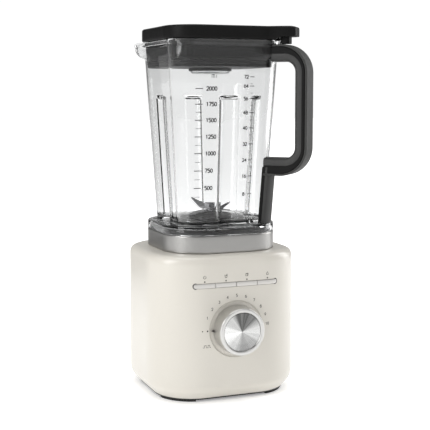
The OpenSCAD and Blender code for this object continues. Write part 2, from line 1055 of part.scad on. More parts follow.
module lid_plate() {
  w = jar_w + 2 * lid_over;
  color([0.06, 0.06, 0.06])
    difference() {
      union() {
        swept(w, w, lid_r) {
          translate([0, lid_low])
            square([lid_r, lid_top - lid_edge - lid_low]);
          translate([0, lid_low])
            square([lid_r - lid_edge, lid_top - lid_low]);
          translate([lid_r - lid_edge, lid_top - lid_edge])
            circle(lid_edge);
        }
        slab(w - 2 * lid_r + 1, w - 2 * lid_r + 1, 0.4, lid_low, lid_top);
        at_handle()
          translate([0, 0, lid_low + 2])
            linear_extrude(lid_top - lid_low - 3)
              tab_plan();
        // Peg that rests on the handle
        at_handle()
          translate([corner_reach + 6, -6, handle_top + 0.3])
            cube([11, 12, 8]);
      }
      translate([0, 0, lid_top - 6])
        cylinder(h = 20, r = cap_r + 0.3);
      translate([0, 0, lid_low - 1])
        cylinder(h = 30, r = cap_r - 1.4);
    }
}

// Hollow plug under the lid with a tube for the cap
module lid_plug() {
  color([0.16, 0.16, 0.16])
    difference() {
      union() {
        jar_form(-jar_wall - 1.2, plug_z, lid_low);
        translate([0, 0, plug_z - 4])
          cylinder(h = 10, r = cap_r - 1.5);
      }
      difference() {
        jar_form(-jar_wall - 3.8, plug_z + 2.6, lid_low + 1);
        translate([0, 0, plug_z - 8])
          cylinder(h = 80, r = cap_r - 1.5);
      }
      translate([0, 0, plug_z - 8])
        cylinder(h = 80, r = cap_r - 3.7);
      difference() {
        slab(200, 200, 30, plug_z + 3, plug_z + 11);
        jar_form(-jar_wall - 2.4, plug_z - 1, lid_low);
      }
    }
}

// Ribbed seal round the plug
module lid_gasket() {
  color([0.1, 0.1, 0.1])
    difference() {
      union() {
        jar_form(-jar_wall - 1.1, plug_z + 3.05, plug_z + 10.95);
        for (i = [0:2])
          jar_form(-jar_wall - 0.35, plug_z + 3.6 + 2.7 * i, plug_z + 5 + 2.7 * i);
      }
      jar_form(-jar_wall - 2.4, plug_z - 1, lid_low);
    }
}

module cap_top() {
  color([0.06, 0.06, 0.06])
    union() {
      translate([0, 0, lid_top - 5.9])
        cylinder(h = 5.4, r = cap_r);
      translate([0, 0, lid_top - 0.51])
        cylinder(h = 0.51, r1 = cap_r, r2 = cap_r - 0.5);
      translate([0, 0, lid_top - 10])
        cylinder(h = 5, r = cap_r - 6.2);
    }
}

// Clear measuring cup that hangs from the cap
module measuring_cup() {
  r = cap_r - 4;
  color([0.92, 0.93, 0.94, 0.4])
    difference() {
      translate([0, 0, plug_z - 4.4])
        cylinder(h = lid_top - 5.9 - plug_z + 4.4, r = r);
      translate([0, 0, plug_z - 2.4])
        cylinder(h = 80, r = r - 2.2);
    }
}

housing();
base_plate();
foot(0);  // foot_front_left
foot(1);  // foot_front_right
foot(2);  // foot_rear_left
foot(3);  // foot_rear_right
vent_ring();
deck_band();
deck_pad();
well_seal();
cord_gland();
plate_screw(-1, -1);  // plate_screw_1
plate_screw(1, -1);  // plate_screw_2
plate_screw(-1, 1);  // plate_screw_3
plate_screw(1, 1);  // plate_screw_4
field_stack();
field_coils();
lower_bracket();
upper_bracket();
motor_mount(-1, -1);  // motor_mount_1
motor_mount(1, -1);  // motor_mount_2
motor_mount(-1, 1);  // motor_mount_3
motor_mount(1, 1);  // motor_mount_4
brush(1);  // brush_left
brush(-1);  // brush_right
control_board();
light_pipe();
dial_switch();
motor_shaft();
armature();
fan();
drive_coupler();
knob_shell();
knob_disc();
knob_pointer();
knob_shaft();
button(0);  // button_power
button(1);  // button_smoothie
button(2);  // button_ice
button(3);  // button_clean
jar();
handle_body();
handle_face();
handle_grip();
handle_screw(corner_reach + 3, grip_top + 0.2);  // handle_screw_upper
handle_screw(corner_reach - 4, handle_low + 0.2);  // handle_screw_lower
bearing_housing();
bearing_bushing();
jar_seal();
jar_nut();
blade_shaft();
blade_lower();
blade_upper();
blade_nut();
driven_coupler();
lid_plate();
lid_plug();
lid_gasket();
cap_top();
measuring_cup();
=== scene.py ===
import math

import bpy
import numpy as np
from mathutils import Matrix, Vector


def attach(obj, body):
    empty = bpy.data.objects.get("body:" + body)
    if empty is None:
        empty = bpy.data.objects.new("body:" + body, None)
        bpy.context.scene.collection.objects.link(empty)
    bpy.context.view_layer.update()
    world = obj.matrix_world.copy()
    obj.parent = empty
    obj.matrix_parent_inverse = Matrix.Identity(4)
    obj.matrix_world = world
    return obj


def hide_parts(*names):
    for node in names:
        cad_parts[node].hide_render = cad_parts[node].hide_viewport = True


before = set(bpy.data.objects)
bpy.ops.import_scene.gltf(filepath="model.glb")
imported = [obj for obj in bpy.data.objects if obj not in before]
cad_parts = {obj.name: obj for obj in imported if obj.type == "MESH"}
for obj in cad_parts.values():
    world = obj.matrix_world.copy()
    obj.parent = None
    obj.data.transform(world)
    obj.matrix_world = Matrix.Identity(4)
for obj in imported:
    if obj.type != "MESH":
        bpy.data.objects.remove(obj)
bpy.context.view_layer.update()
scene = bpy.context.scene
mm = 0.001

# ---------------------------------------------------------------- camera
# A still-life camera on a stand: about 1.24 m from the blender, a little above it,
# turned 21 degrees to its left, with a short telephoto lens.
camera = bpy.data.objects.new("camera", bpy.data.cameras.new("camera"))
scene.collection.objects.link(camera)
turn, drop, aside = math.radians(21.25), math.radians(5.42), math.radians(0.285)
distance, eye_height = 1.2324, 0.3527
camera.location = (-distance * math.sin(turn), -distance * math.cos(turn), eye_height)
camera.rotation_euler = (math.pi / 2 - drop, 0, -turn - aside)
camera.data.sensor_width = 36
camera.data.lens = 85.8
camera.data.shift_y = -0.0552
camera.data.clip_end = 20
scene.camera = camera

# ---------------------------------------------------------------- studio
# A flat white card under the blender, one wide lamp from the upper left, a strip on the right,
# a soft top lamp and a weak fill from the front.
scene.view_settings.view_transform = "Standard"
scene.view_settings.look = "None"


def link(name, mesh, material=None):
    """Makes an object of a mesh, gives it its material and puts it in the scene."""
    obj = bpy.data.objects.new(name, mesh)
    scene.collection.objects.link(obj)
    if material:
        mesh.materials.append(material)
    return obj


def surface(name, rings, round_u=True, loop_v=False, caps="", material=None, smooth=40):
    """A skin over a grid of points in millimetres: rings[v, u]. round_u joins the last point of
    each ring to its first, loop_v joins the last ring to the first, and caps closes the first (a)
    or last (b) ring with a flat face. Faces look outward where u runs anticlockwise and v upward."""
    rings = np.asarray(rings, float)
    nv, nu = rings.shape[:2]
    index = np.arange(nv * nu).reshape(nv, nu)
    if round_u:
        index = np.concatenate([index, index[:, :1]], axis=1)
    if loop_v:
        index = np.concatenate([index, index[:1]], axis=0)
    quads = np.stack([index[:-1, :-1], index[:-1, 1:], index[1:, 1:], index[1:, :-1]], -1)
    faces = quads.reshape(-1, 4).tolist()
    if "a" in caps:
        faces.append(np.arange(nu)[::-1].tolist())
    if "b" in caps:
        faces.append((np.arange(nu) + (nv - 1) * nu).tolist())
    mesh = bpy.data.meshes.new(name)
    mesh.from_pydata((rings.reshape(-1, 3) * mm).tolist(), [], faces)
    mesh.validate()
    obj = link(name, mesh, material)
    shade(obj, smooth)
    return obj


def shade(obj, smooth):
    """Shades a piece smooth, with edges sharper than so many degrees left crisp."""
    mesh = obj.data
    mesh.polygons.foreach_set("use_smooth", np.ones(len(mesh.polygons), bool))
    mesh.set_sharp_from_angle(angle=math.radians(smooth))


def lamp(name, place, aim, size, watts):
    """A flat rectangular white lamp at a place, facing a point, both in metres."""
    data = bpy.data.lights.new(name, "AREA")
    data.shape, data.size, data.size_y = "RECTANGLE", size[0], size[1]
    data.energy = watts
    obj = bpy.data.objects.new(name, data)
    obj.location = place
    obj.rotation_euler = (Vector(aim) - Vector(place)).to_track_quat("-Z", "Y").to_euler()
    scene.collection.objects.link(obj)


def fill(tree, made, inputs):
    """Gives a node's inputs, named with _ for a space, their values or links."""
    for key, source in inputs.items():
        socket = made.inputs[key.replace("_", " ")]
        if isinstance(source, bpy.types.NodeSocket):
            tree.links.new(source, socket)
        else:
            socket.default_value = source
    return made


def put(tree, kind, **inputs):
    """A new shader node of a kind, with some of its inputs set or linked."""
    return fill(tree, tree.nodes.new("ShaderNode" + kind), inputs)


def finish_of(name, colour, rough, metal=0.0, **sockets):
    """A new material with one Principled shader, and its node tree and shader."""
    made = bpy.data.materials.new(name)
    made.use_nodes = True
    tree = made.node_tree
    shader = tree.nodes["Principled BSDF"]
    fill(tree, shader, {"Base_Color": (*colour, 1), "Roughness": rough, "Metallic": metal, **sockets})
    return made, tree, shader


def step_of(tree, kind, a, b):
    """One Math node of a kind, on two sockets or numbers."""
    made = tree.nodes.new("ShaderNodeMath")
    made.operation = kind
    for socket, source in zip(made.inputs, (a, b)):
        if isinstance(source, (int, float)):
            socket.default_value = source
        else:
            tree.links.new(source, socket)
    return made.outputs[0]


def weighted(tree, base, *terms):
    """A base value plus the product of each (socket, weight) pair."""
    total = base
    for source, weight in terms:
        total = step_of(tree, "ADD", total, step_of(tree, "MULTIPLY", source, weight))
    return total


def straight_through(tree, ray):
    """1 for a ray that crossed clear plastic without being mirrored or scattered, else 0."""
    bounces = step_of(tree, "ADD", ray["Glossy Depth"], ray["Diffuse Depth"])
    plain = step_of(tree, "LESS_THAN", bounces, 0.5)
    return step_of(tree, "MULTIPLY", ray["Is Transmission Ray"], plain)


def spread(tree, value, low, high, start=0.25, end=0.75):
    """Turns a value from start to end into one from low to high."""
    made = put(tree, "MapRange", Value=value, From_Min=start, From_Max=end, To_Min=low, To_Max=high)
    return made.outputs["Result"]


# The card glows a little, more so where it is seen directly and away from the blender.
card, tree, shader = finish_of("studio_card", (0.9, 0.9, 0.9), 0.9, Emission_Color=(1, 1, 1, 1))
away = put(tree, "VectorMath", Vector=put(tree, "TexCoord").outputs["Object"])
away.operation = "LENGTH"
far = spread(tree, away.outputs["Value"], 0.0, 1.0, 0.3, 0.9)
ray = put(tree, "LightPath").outputs
glow = weighted(tree, 0.3, (step_of(tree, "MULTIPLY", ray["Is Camera Ray"], far), 0.75),
                (straight_through(tree, ray), 0.2))
tree.links.new(glow, shader.inputs["Emission Strength"])
u, v = np.meshgrid(np.linspace(-9000, 9000, 7), np.linspace(-9000, 12000, 8))
surface("floor", np.stack([u, v, 0 * u], -1), round_u=False, material=card)

# Dark flags stand beside and behind the blender, where only mirrored rays meet them, and
# draw the dark lines along the clear jar's edges and the metal's.
flag_black, tree, shader = finish_of("flag_black", (0.01, 0.01, 0.01), 0.9)
for name, x0, y0, x1, y1, z0, z1 in (
        ("flag_left", -300, 690, -178, 735, 60, 900),
        ("flag_right", 640, 420, 800, 260, 60, 900),
        ("flag_low", -760, 560, -200, 740, 2, 90),
        ("flag_high", -760, 560, -200, 740, 395, 900)):
    corners = [[(x0, y0, z), (x1, y1, z)] for z in (z0, z1)]
    flag = surface(name, corners, round_u=False, material=flag_black)
    flag.visible_camera = flag.visible_shadow = False
    flag.visible_diffuse = flag.visible_transmission = False

# The card's surround is white to the eye, a little less so through the clear jar, and dim
# where it lights or is mirrored.
world = bpy.data.worlds.new("studio")
scene.world = world
world.use_nodes = True
tree = world.node_tree
sky = tree.nodes["Background"]
ray = put(tree, "LightPath").outputs
total = weighted(tree, 0.42, (ray["Is Camera Ray"], 0.6), (straight_through(tree, ray), 0.5),
                 (ray["Is Glossy Ray"], -0.08))
fill(tree, sky, {"Strength": total, "Color": (1, 1, 1, 1)})

lamp("key_lamp", (-1.8, -0.5, 0.9), (0, 0, 0.2), (0.8, 1.5), 18.5)
lamp("right_box", (1.5, 0.1, 0.75), (0, 0, 0.25), (0.7, 1.4), 12)
lamp("top_lamp", (0.0, 0.1, 1.9), (0, 0, 0.2), (1.4, 1.2), 18)
lamp("front_fill", (0.5, -2.2, 1.1), (0, 0, 0.2), (1.2, 1.0), 3.4)

# ---------------------------------------------------------------- housing
# The cream shell is one pressing of pearl-lacquered plastic, 3 mm thick, open below and
# with a deep round well in its top; the dial's seat and the button slot are cut into it.


def outline(w, d, r, z, arc=20, side=9):
    """A rounded rectangle of width w, depth d and corner radius r at height z. Corners are arcs of
    equal angle steps and sides are straight lines of equal steps, both anticlockwise from where
    the right side meets the back corner."""
    r = min(r, w / 2 - 0.05, d / 2 - 0.05)
    turns = np.linspace(0, math.pi / 2, arc)
    along = np.linspace(0, 1, side + 2)[1:-1, None]
    corners = []
    for k, (sx, sy) in enumerate(((1, 1), (-1, 1), (-1, -1), (1, -1))):
        a = turns + k * math.pi / 2
        centre = np.array([sx * (w / 2 - r), sy * (d / 2 - r)])
        corners.append(centre + r * np.stack([np.cos(a), np.sin(a)], -1))
    ring = []
    for corner, after in zip(corners, corners[1:] + corners[:1]):
        ring += [corner, corner[-1] + (after[0] - corner[-1]) * along]
    ring = np.concatenate(ring)
    return np.column_stack([ring, np.full(len(ring), z)])


def inset_rings(profile, w, d, r, arc=20, side=9):
    """The rings of a profile of (inset, height) points carried round a rounded rectangle."""
    return [outline(w - 2 * i, d - 2 * i, r - i, z, arc, side) for i, z in profile]


def round_rings(profile, arc=20, side=9):
    """Near-circles with as many points as outline's rings, for (radius, height) points."""
    return [outline(2 * r, 2 * r, r - 0.1, z, arc, side) for r, z in profile]


BASE_W, BASE_D, BASE_R = 181.4, 167.2, 57.0
SHOULDER, BAND_TOP, BAND_W, BAND_R = 170.4, 191.2, 138.6, 47.0
KNOB_Z, ROW_Z, FRONT = 84.8, 136.7, -83.6


def smooth_path(points, passes=2, every=1.2):
    """Rounds a path of (inset, height) points: it is cut into even steps, then each point moves to
    the mean of its neighbours so many times, with its ends kept."""
    p = np.asarray(points, float)
    gone = np.concatenate([[0], np.cumsum(np.linalg.norm(np.diff(p, axis=0), axis=1))])
    at = np.linspace(0, gone[-1], max(4, int(gone[-1] / every)))
    p = np.column_stack([np.interp(at, gone, p[:, k]) for k in range(p.shape[1])])
    for _ in range(passes):
        p[1:-1] = 0.25 * p[:-2] + 0.5 * p[1:-1] + 0.25 * p[2:]
    return p


skin = smooth_path([(11.0, 4.1), (10.2, 4.3), (3.2, 12.6), (0.6, 18.0), (0, 26), (0, 60),
                    (0, 161.2), (0.25, 163.6), (1.0, 166.0), (2.6, 168.3), (5.0, 169.6),
                    (8.5, 170.3)], 5)
well = [(33, 186.3), (32.3, 185.6), (32, 176), (31, 173), (29, 172), (7, 172), (7, 169), (30, 169),
        (35, 173), (35.3, 183)]
inner = smooth_path([(4.4, 165.2), (3.0, 160), (3.0, 60), (3.0, 20), (5.8, 13.0), (12.6, 5.2),
                     (13.4, 4.1)], 2)
rings = inset_rings(skin, BASE_W, BASE_D, BASE_R)
rings += inset_rings([(-2, SHOULDER + 0.15), (1, SHOULDER + 0.2), (2.5, 172), (2.5, 185.5), (3, 186.3)],
                     BAND_W, BAND_W, BAND_R)
rings += round_rings(well)
rings += inset_rings([(6, 183), (6, 168)], BAND_W, BAND_W, BAND_R)
rings += inset_rings([(10, 167.2), *inner], BASE_W, BASE_D, BASE_R)
housing = surface("cream_housing", rings, loop_v=True)


def cut(obj, tool):
    """Takes one closed shape away from another and keeps the result as plain mesh."""
    step = obj.modifiers.new("cut", "BOOLEAN")
    step.operation, step.solver, step.object = "DIFFERENCE", "EXACT", tool
    bpy.context.view_layer.update()
    done = bpy.data.meshes.new_from_object(obj.evaluated_get(bpy.context.evaluated_depsgraph_get()))
    obj.modifiers.clear()
    obj.data = done
    bpy.data.objects.remove(tool)


def front_disc(r, y):
    """A circle round the dial's axis at depth y."""
    a = np.linspace(0, 2 * math.pi, 96, endpoint=False)
    return np.column_stack([r * np.cos(a), np.full(96, y), KNOB_Z + r * np.sin(a)])


def slot_outline(length, height, y, n=24):
    """A slot's outline seen from the front: two half circles joined by straight lines."""
    a = np.linspace(-math.pi / 2, math.pi / 2, n)
    half, r = length / 2 - height / 2, height / 2
    xs = np.concatenate([half + r * np.cos(a), -half - r * np.cos(a)])
    zs = np.concatenate([r * np.sin(a), -r * np.sin(a)])
    return np.column_stack([xs, np.full(2 * n, y), ROW_Z + zs])


cut(housing, surface("tool_a", [front_disc(33.4, -70), front_disc(33.4, -90)], caps="ab"))
cut(housing, surface("tool_b", [slot_outline(103.6, 5.9, -70), slot_outline(103.6, 5.9, -95)], caps="ab"))
shade(housing, 32)


def grain_group():
    """Noise in the piece's own coordinates, stretched along an axis where a finish has a grain."""
    tree = bpy.data.node_groups.new("grain", "ShaderNodeTree")
    for label, kind in (("Scale", "Float"), ("Detail", "Float"), ("Stretch", "Vector")):
        tree.interface.new_socket(label, in_out="INPUT", socket_type="NodeSocket" + kind)
    tree.interface.new_socket("Fac", in_out="OUTPUT", socket_type="NodeSocketFloat")
    given = tree.nodes.new("NodeGroupInput").outputs
    place = put(tree, "Mapping", Vector=put(tree, "TexCoord").outputs["Object"], Scale=given["Stretch"])
    made = put(tree, "TexNoise", Vector=place.outputs["Vector"], Scale=given["Scale"],
               Detail=given["Detail"])
    tree.links.new(made.outputs["Fac"], tree.nodes.new("NodeGroupOutput").inputs["Fac"])
    return tree


grain_effect = grain_group()


def noise(tree, scale, detail, stretch=(1, 1, 1)):
    """The grain effect, placed in a material with its own values."""
    made = put(tree, "Group")
    made.node_tree = grain_effect
    return fill(tree, made, {"Scale": scale, "Detail": detail, "Stretch": stretch}).outputs["Fac"]


def bump(tree, shader, value, strength, depth):
    """Feeds a height into the shader's normal through a Bump node."""
    made = put(tree, "Bump", Height=value, Strength=strength, Distance=depth)
    tree.links.new(made.outputs["Normal"], shader.inputs["Normal"])


def shades(tree, shader, value, dark, light):
    """Blends two colours by a value and feeds the result to the shader's base colour."""
    made = put(tree, "Mix", Factor=value)
    made.data_type = "RGBA"
    made.inputs[6].default_value, made.inputs[7].default_value = (*dark, 1), (*light, 1)
    tree.links.new(made.outputs[2], shader.inputs["Base Color"])


def textured(name, colour, rough, metal=0.0, tones=None, gloss=None, relief=None, **sockets):
    """A finish that noise makes uneven. tones is (noise, dark, light) for its colour, gloss is
    (noise, low, high) for its roughness and relief is (noise, strength, depth) for its height,
    where noise stands for a scale, a detail and, where there is a grain, a stretch."""
    made, tree, shader = finish_of(name, colour, rough, metal, **sockets)
    if tones:
        shades(tree, shader, noise(tree, *tones[0]), *tones[1:])
    if gloss:
        tree.links.new(spread(tree, noise(tree, *gloss[0]), *gloss[1:]), shader.inputs["Roughness"])
    if relief:
        bump(tree, shader, noise(tree, *relief[0]), *relief[1:])
    return made


cream = textured("pearl_cream", (0.66, 0.63, 0.567), 0.3, Coat_Weight=0.5, Coat_Roughness=0.22,
                 Specular_IOR_Level=0.5, Sheen_Weight=0.06, Sheen_Roughness=0.4,
                 tones=((900, 3), (0.645, 0.616, 0.554), (0.673, 0.643, 0.58)),
                 gloss=((60, 2), 0.31, 0.38), relief=((2600, 2), 0.06, 0.0003))
housing.data.materials.append(cream)
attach(housing, "base")
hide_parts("housing")

# ---------------------------------------------------------------- foot of the base
# A black moulded plate closes the base from below; four curved rubber pads and a ring round
# the fan's outlet are glued to it, and four screws hold it to posts inside the shell.


def moulded(name, dark, light, rough, grain=1800, depth=0.00006, gleam=0.35):
    """Moulded plastic or rubber: a fine spark-eroded grain, uneven a little in colour and gloss."""
    return textured(name, dark, rough, tones=((45, 4), dark, light), relief=((grain, 3), 0.35, depth),
                    gloss=((110, 3), rough - 0.04, rough + 0.05), Specular_IOR_Level=gleam)


def dress(material, *nodes):
    """Puts a material on CAD nodes that are shown as they are."""
    for node in nodes:
        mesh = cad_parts[node].data
        mesh.materials.clear()
        mesh.materials.append(material)


plate_black = moulded("plate_black", (0.012, 0.012, 0.012), (0.018, 0.018, 0.018), 0.5)
rubber = moulded("foot_rubber", (0.011, 0.011, 0.011), (0.02, 0.02, 0.02), 0.72, 1200, 0.00012)
dress(plate_black, "base_plate")
dress(rubber, "vent_ring", "motor_mount_1", "motor_mount_2", "motor_mount_3", "motor_mount_4",
      "cord_gland", "well_seal")

for k, node in enumerate(("foot_front_left", "foot_front_right", "foot_rear_left", "foot_rear_right")):
    # A pad's section is a low rounded bar, carried round an arc about the corner's centre.
    sx, sy = (-1, 1)[k % 2], (-1 if k < 2 else 1)
    mid = math.radians((225, 315, 135, 45)[k])
    turns = np.linspace(mid - math.radians(31), mid + math.radians(31), 40)
    section = smooth_path([(36.4, 2.4), (36.4, 0.4), (36.8, 0), (44.0, 0), (44.4, 0.4),
                           (44.4, 2.4), (36.4, 2.4)], 1, 0.5)[:-1]
    ends = np.clip(np.minimum(np.arange(40), np.arange(40)[::-1]) / 2.0, 0, 1)
    r = 40.4 + (section[None, :, 0] - 40.4) * (0.9 + 0.1 * ends[:, None])
    ring = np.stack([sx * 33.7 + r * np.cos(turns)[:, None], sy * 26.6 + r * np.sin(turns)[:, None],
                     np.broadcast_to(section[None, :, 1], r.shape)], -1)
    foot = surface(node.replace("foot", "pad"), ring[:, ::-1], caps="ab", material=rubber)
    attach(foot, "base")
    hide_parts(node)

steel = textured("zinc_steel", (0.5, 0.5, 0.51), 0.35, 1.0, gloss=((300, 2), 0.26, 0.42),
                 tones=((700, 3), (0.42, 0.42, 0.44), (0.6, 0.6, 0.6)))
dress(steel, "plate_screw_1", "plate_screw_2", "plate_screw_3", "plate_screw_4",
      "handle_screw_upper", "handle_screw_lower")

# ---------------------------------------------------------------- motor and electrics
# An open-frame series motor hangs between two die-cast brackets on rubber mounts, with its
# fan below; the board carries four push switches and a clear bar for the lamps.

def layered(name, colour, rough, metal, scale, twist, dark, light, strength, depth):
    """A metal of fine level layers, such as stacked sheets or wound wire: waves along Z, so close
    and so twisted, set its colour and its height."""
    made, tree, shader = finish_of(name, colour, rough, metal)
    waves = put(tree, "TexWave", Vector=put(tree, "TexCoord").outputs["Object"], Scale=scale, Distortion=twist)
    waves.bands_direction = "Z"
    shades(tree, shader, waves.outputs["Fac"], dark, light)
    bump(tree, shader, waves.outputs["Fac"], strength, depth)
    return made


lamination = layered("lamination", (0.2, 0.2, 0.21), 0.45, 0.8, 300, 0.0,
                     (0.12, 0.12, 0.13), (0.28, 0.28, 0.3), 0.5, 0.0002)
dress(lamination, "field_stack")
winding = layered("copper_winding", (0.5, 0.2, 0.09), 0.3, 0.7, 190, 2.0,
                  (0.28, 0.1, 0.04), (0.62, 0.27, 0.12), 0.6, 0.0004)
dress(winding, "field_coils", "armature")

casting = textured("die_casting", (0.5, 0.5, 0.52), 0.48, 1.0, relief=((900, 4), 0.3, 0.0002),
                   tones=((160, 5), (0.4, 0.4, 0.42), (0.6, 0.6, 0.62)))
dress(casting, "lower_bracket", "upper_bracket", "drive_coupler")
brass = textured("pressed_brass", (0.68, 0.48, 0.2), 0.3, 1.0,
                 tones=((240, 4), (0.58, 0.4, 0.16), (0.76, 0.56, 0.26)))
dress(brass, "brush_left", "brush_right", "bearing_bushing")
board = textured("board_green", (0.02, 0.14, 0.05), 0.25,
                 tones=((500, 2), (0.015, 0.11, 0.04), (0.03, 0.17, 0.07)))
dress(board, "control_board")
dark_plastic = moulded("dark_plastic", (0.022, 0.022, 0.023), (0.03, 0.03, 0.031), 0.42)
dress(dark_plastic, "dial_switch", "fan")

shaft = textured("ground_steel", (0.62, 0.62, 0.64), 0.18, 1.0, gloss=((900, 2, (0.1, 0.1, 3)), 0.12, 0.3))
dress(shaft, "motor_shaft", "knob_shaft", "blade_shaft")
clear = textured("clear_bar", (0.95, 0.95, 0.95), 0.08, Transmission_Weight=1.0, IOR=1.49,
                 gloss=((80, 2), 0.05, 0.12))
dress(clear, "light_pipe")

# ---------------------------------------------------------------- metal band and deck
# A drawn band of satin metal is pressed round the deck. Inside it lies a soft black pad that
# the jar's skirt stands on, with the drive well in its middle.


satin = textured("satin_band", (0.36, 0.355, 0.345), 0.33, 1.0, Anisotropic=0.4,
                 tones=((260, 5, (1, 1, 9)), (0.34, 0.335, 0.325), (0.385, 0.38, 0.37)),
                 gloss=((520, 3, (0.3, 0.3, 6)), 0.27, 0.37),
                 relief=((700, 3, (0.2, 0.2, 5)), 0.12, 0.0001))
hoop = smooth_path([(2.1, SHOULDER + 0.2), (0.5, SHOULDER + 0.2), (0.05, SHOULDER + 0.8), (0, 175),
                    (0, 187), (0.06, BAND_TOP - 0.8), (0.6, BAND_TOP - 0.05), (2.1, BAND_TOP - 0.05),
                    (2.1, 180), (2.1, SHOULDER + 0.2)], 2, 0.5)[:-1]
band = surface("metal_band", inset_rings(hoop, BAND_W, BAND_W, BAND_R, 26, 13), loop_v=True, material=satin)
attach(band, "base")
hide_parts("deck_band")

pad_rubber = moulded("pad_rubber", (0.010, 0.010, 0.010), (0.017, 0.017, 0.017), 0.55, 1400, 0.0001)
mat = smooth_path([(0.3, 187.0), (0.3, 189.8), (0.7, 190.2), (9, 190.2), (10, 189.4), (12, 189.4),
                   (13, 190.2), (22, 190.2)], 1, 0.6)
pad = inset_rings(mat, 134.2, 134.2, 44.8, 26, 13)
pad += round_rings([(34.6, 190.2), (33.6, 190.0), (33.2, 189.4), (33.1, 187.0)], 26, 13)
deck = surface("deck_mat", pad, loop_v=True, material=pad_rubber)
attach(deck, "base")
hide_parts("deck_pad")

# ---------------------------------------------------------------- dial seat
# A shallow round seat is let into the front for the knob, with a soft rolled edge.


def turned(name, profile, x=0.0, y=0.0, z=0.0, axis="z", n=96, material=None, smooth=40, loop=False, caps=""):
    """A profile of (radius, height) points spun round an axis along Z, or along -Y for the front's
    round pieces, where height then counts from the face outwards."""
    p = np.asarray(profile, float)
    a = np.linspace(0, 2 * math.pi, n, endpoint=False)
    r, h = p[:, 0][:, None], np.broadcast_to(p[:, 1][:, None], (len(p), n))
    if axis == "z":
        pts = np.stack([x + r * np.cos(a), y + r * np.sin(a), z + h], -1)
    else:
        pts = np.stack([x + r * np.cos(a), y - h, z + r * np.sin(a)], -1)
    return surface(name, pts, loop_v=loop, material=material, smooth=smooth, caps=caps)


seat_shape = smooth_path([(34.3, -0.35), (34.2, 0.04), (33.9, 0.1), (33.2, 0.0), (32.5, -0.5),
                          (32.1, -1.3), (31.4, -1.62), (30, -1.7), (10, -1.7), (7, -1.7), (5.2, -1.7)], 1, 0.4)
seat_shape = np.concatenate([seat_shape, [(5.2, -5.5), (33.3, -5.5), (33.3, -0.35)]])
seat = turned("dial_seat", seat_shape, y=FRONT, z=KNOB_Z, axis="y", material=cream, loop=True, smooth=50)
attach(seat, "base")

# ---------------------------------------------------------------- knob
# The knob is a turned cup of satin metal with a bright chamfered rim and a dished disc,
# spun with fine rings, pressed into its face. A small dark tab marks where it points.
knob_metal = textured("knob_metal", (0.62, 0.615, 0.6), 0.33, 1.0, Anisotropic=0.25,
                      tones=((420, 3, (0.4, 5, 0.4)), (0.60, 0.595, 0.58), (0.65, 0.645, 0.63)),
                      gloss=((260, 2), 0.31, 0.35), relief=((900, 2, (0.3, 6, 0.3)), 0.08, 0.0001))
skirt = smooth_path([(27.7, -1.0), (28.0, -0.4), (28.0, 1.0), (27.8, 8), (27.5, 14.2), (27.35, 16.2)], 1, 0.6)
rim = smooth_path([(27.3, 16.4), (27.2, 17.9), (26.6, 19.0), (25.8, 19.4), (23.4, 19.4), (22.6, 19.0), (22.3, 18.2)], 1, 0.25)
inside = [(22.3, 15.9), (6.4, 15.9), (3.1, 15.9), (3.1, 2), (6.4, 2), (6.4, 12.5), (24.4, 12.5), (24.8, -1.0)]
knob = turned("knob_cup", np.concatenate([skirt, rim, inside]), y=FRONT, z=KNOB_Z, axis="y", n=160,
              material=knob_metal, loop=True, smooth=28)
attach(knob, "knob")
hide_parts("knob_shell")

disc_metal, tree, shader = finish_of("spun_disc", (0.66, 0.66, 0.655), 0.24, 1.0, Anisotropic=0.85)
tangent = tree.nodes.new("ShaderNodeTangent")
tangent.direction_type = "UV_MAP"
tangent.uv_map = "round"
tree.links.new(tangent.outputs["Tangent"], shader.inputs["Tangent"])
coords = put(tree, "UVMap")
coords.uv_map = "round"
stretch = put(tree, "Mapping", Vector=coords.outputs["UV"], Scale=(1.2, 40, 1))
lines = put(tree, "TexNoise", Vector=stretch.outputs["Vector"], Scale=6, Detail=6)
apart = put(tree, "SeparateXYZ", Vector=coords.outputs["UV"])
streak = tree.nodes.new("ShaderNodeTexNoise")
streak.noise_dimensions = "1D"
fill(tree, streak, {"W": apart.outputs["X"], "Scale": 9.0, "Detail": 4})

# Painted reflection: dark and bright fans round the centre, from a wave with two turns and one with a single turn
# that tilts it, are painted into the disc's colour in place of the lamps that spun metal mirrors; the streaks' own
# noise adds fine radial streaks.
turn = step_of(tree, "MULTIPLY", apart.outputs["X"], 2 * math.pi)
painted_reflection_two_turns = step_of(tree, "COSINE", step_of(tree, "MULTIPLY", turn, 2.0), 0)
painted_reflection_tilt = step_of(tree, "COSINE", step_of(tree, "SUBTRACT", turn, 0.977), 0)
fan = weighted(tree, 0.0, (painted_reflection_two_turns, 0.3), (painted_reflection_tilt, 0.22), (streak.outputs["Fac"], 0.9))
# The painted reflection sets the disc's base colour between near black and near white.
shades(tree, shader, fan, (0.10, 0.10, 0.098), (0.95, 0.95, 0.94))
bump(tree, shader, lines.outputs["Fac"], 0.15, 0.0001)


def polar_uv(obj, name, x, z):
    """Gives each corner of a face its angle round (x, z) as U, kept whole across the seam, and its
    distance from there as V, both scaled to about 0..1."""
    mesh = obj.data
    layer = mesh.uv_layers.new(name=name)
    co = np.zeros(len(mesh.vertices) * 3)
    mesh.vertices.foreach_get("co", co)
    co = co.reshape(-1, 3) / mm
    loops = np.zeros(len(mesh.loops), int)
    mesh.loops.foreach_get("vertex_index", loops)
    p = co[loops]
    angle = np.arctan2(p[:, 2] - z, p[:, 0] - x) / (2 * math.pi) + 0.5
    size = np.hypot(p[:, 2] - z, p[:, 0] - x) / 25
    starts = np.zeros(len(mesh.polygons), int)
    counts = np.zeros(len(mesh.polygons), int)
    mesh.polygons.foreach_get("loop_start", starts)
    mesh.polygons.foreach_get("loop_total", counts)
    face = np.repeat(np.arange(len(starts)), counts)
    first = angle[starts][face]
    angle = angle + (angle - first < -0.5) - (angle - first > 0.5)
    layer.data.foreach_set("uv", np.column_stack([angle, size]).ravel())


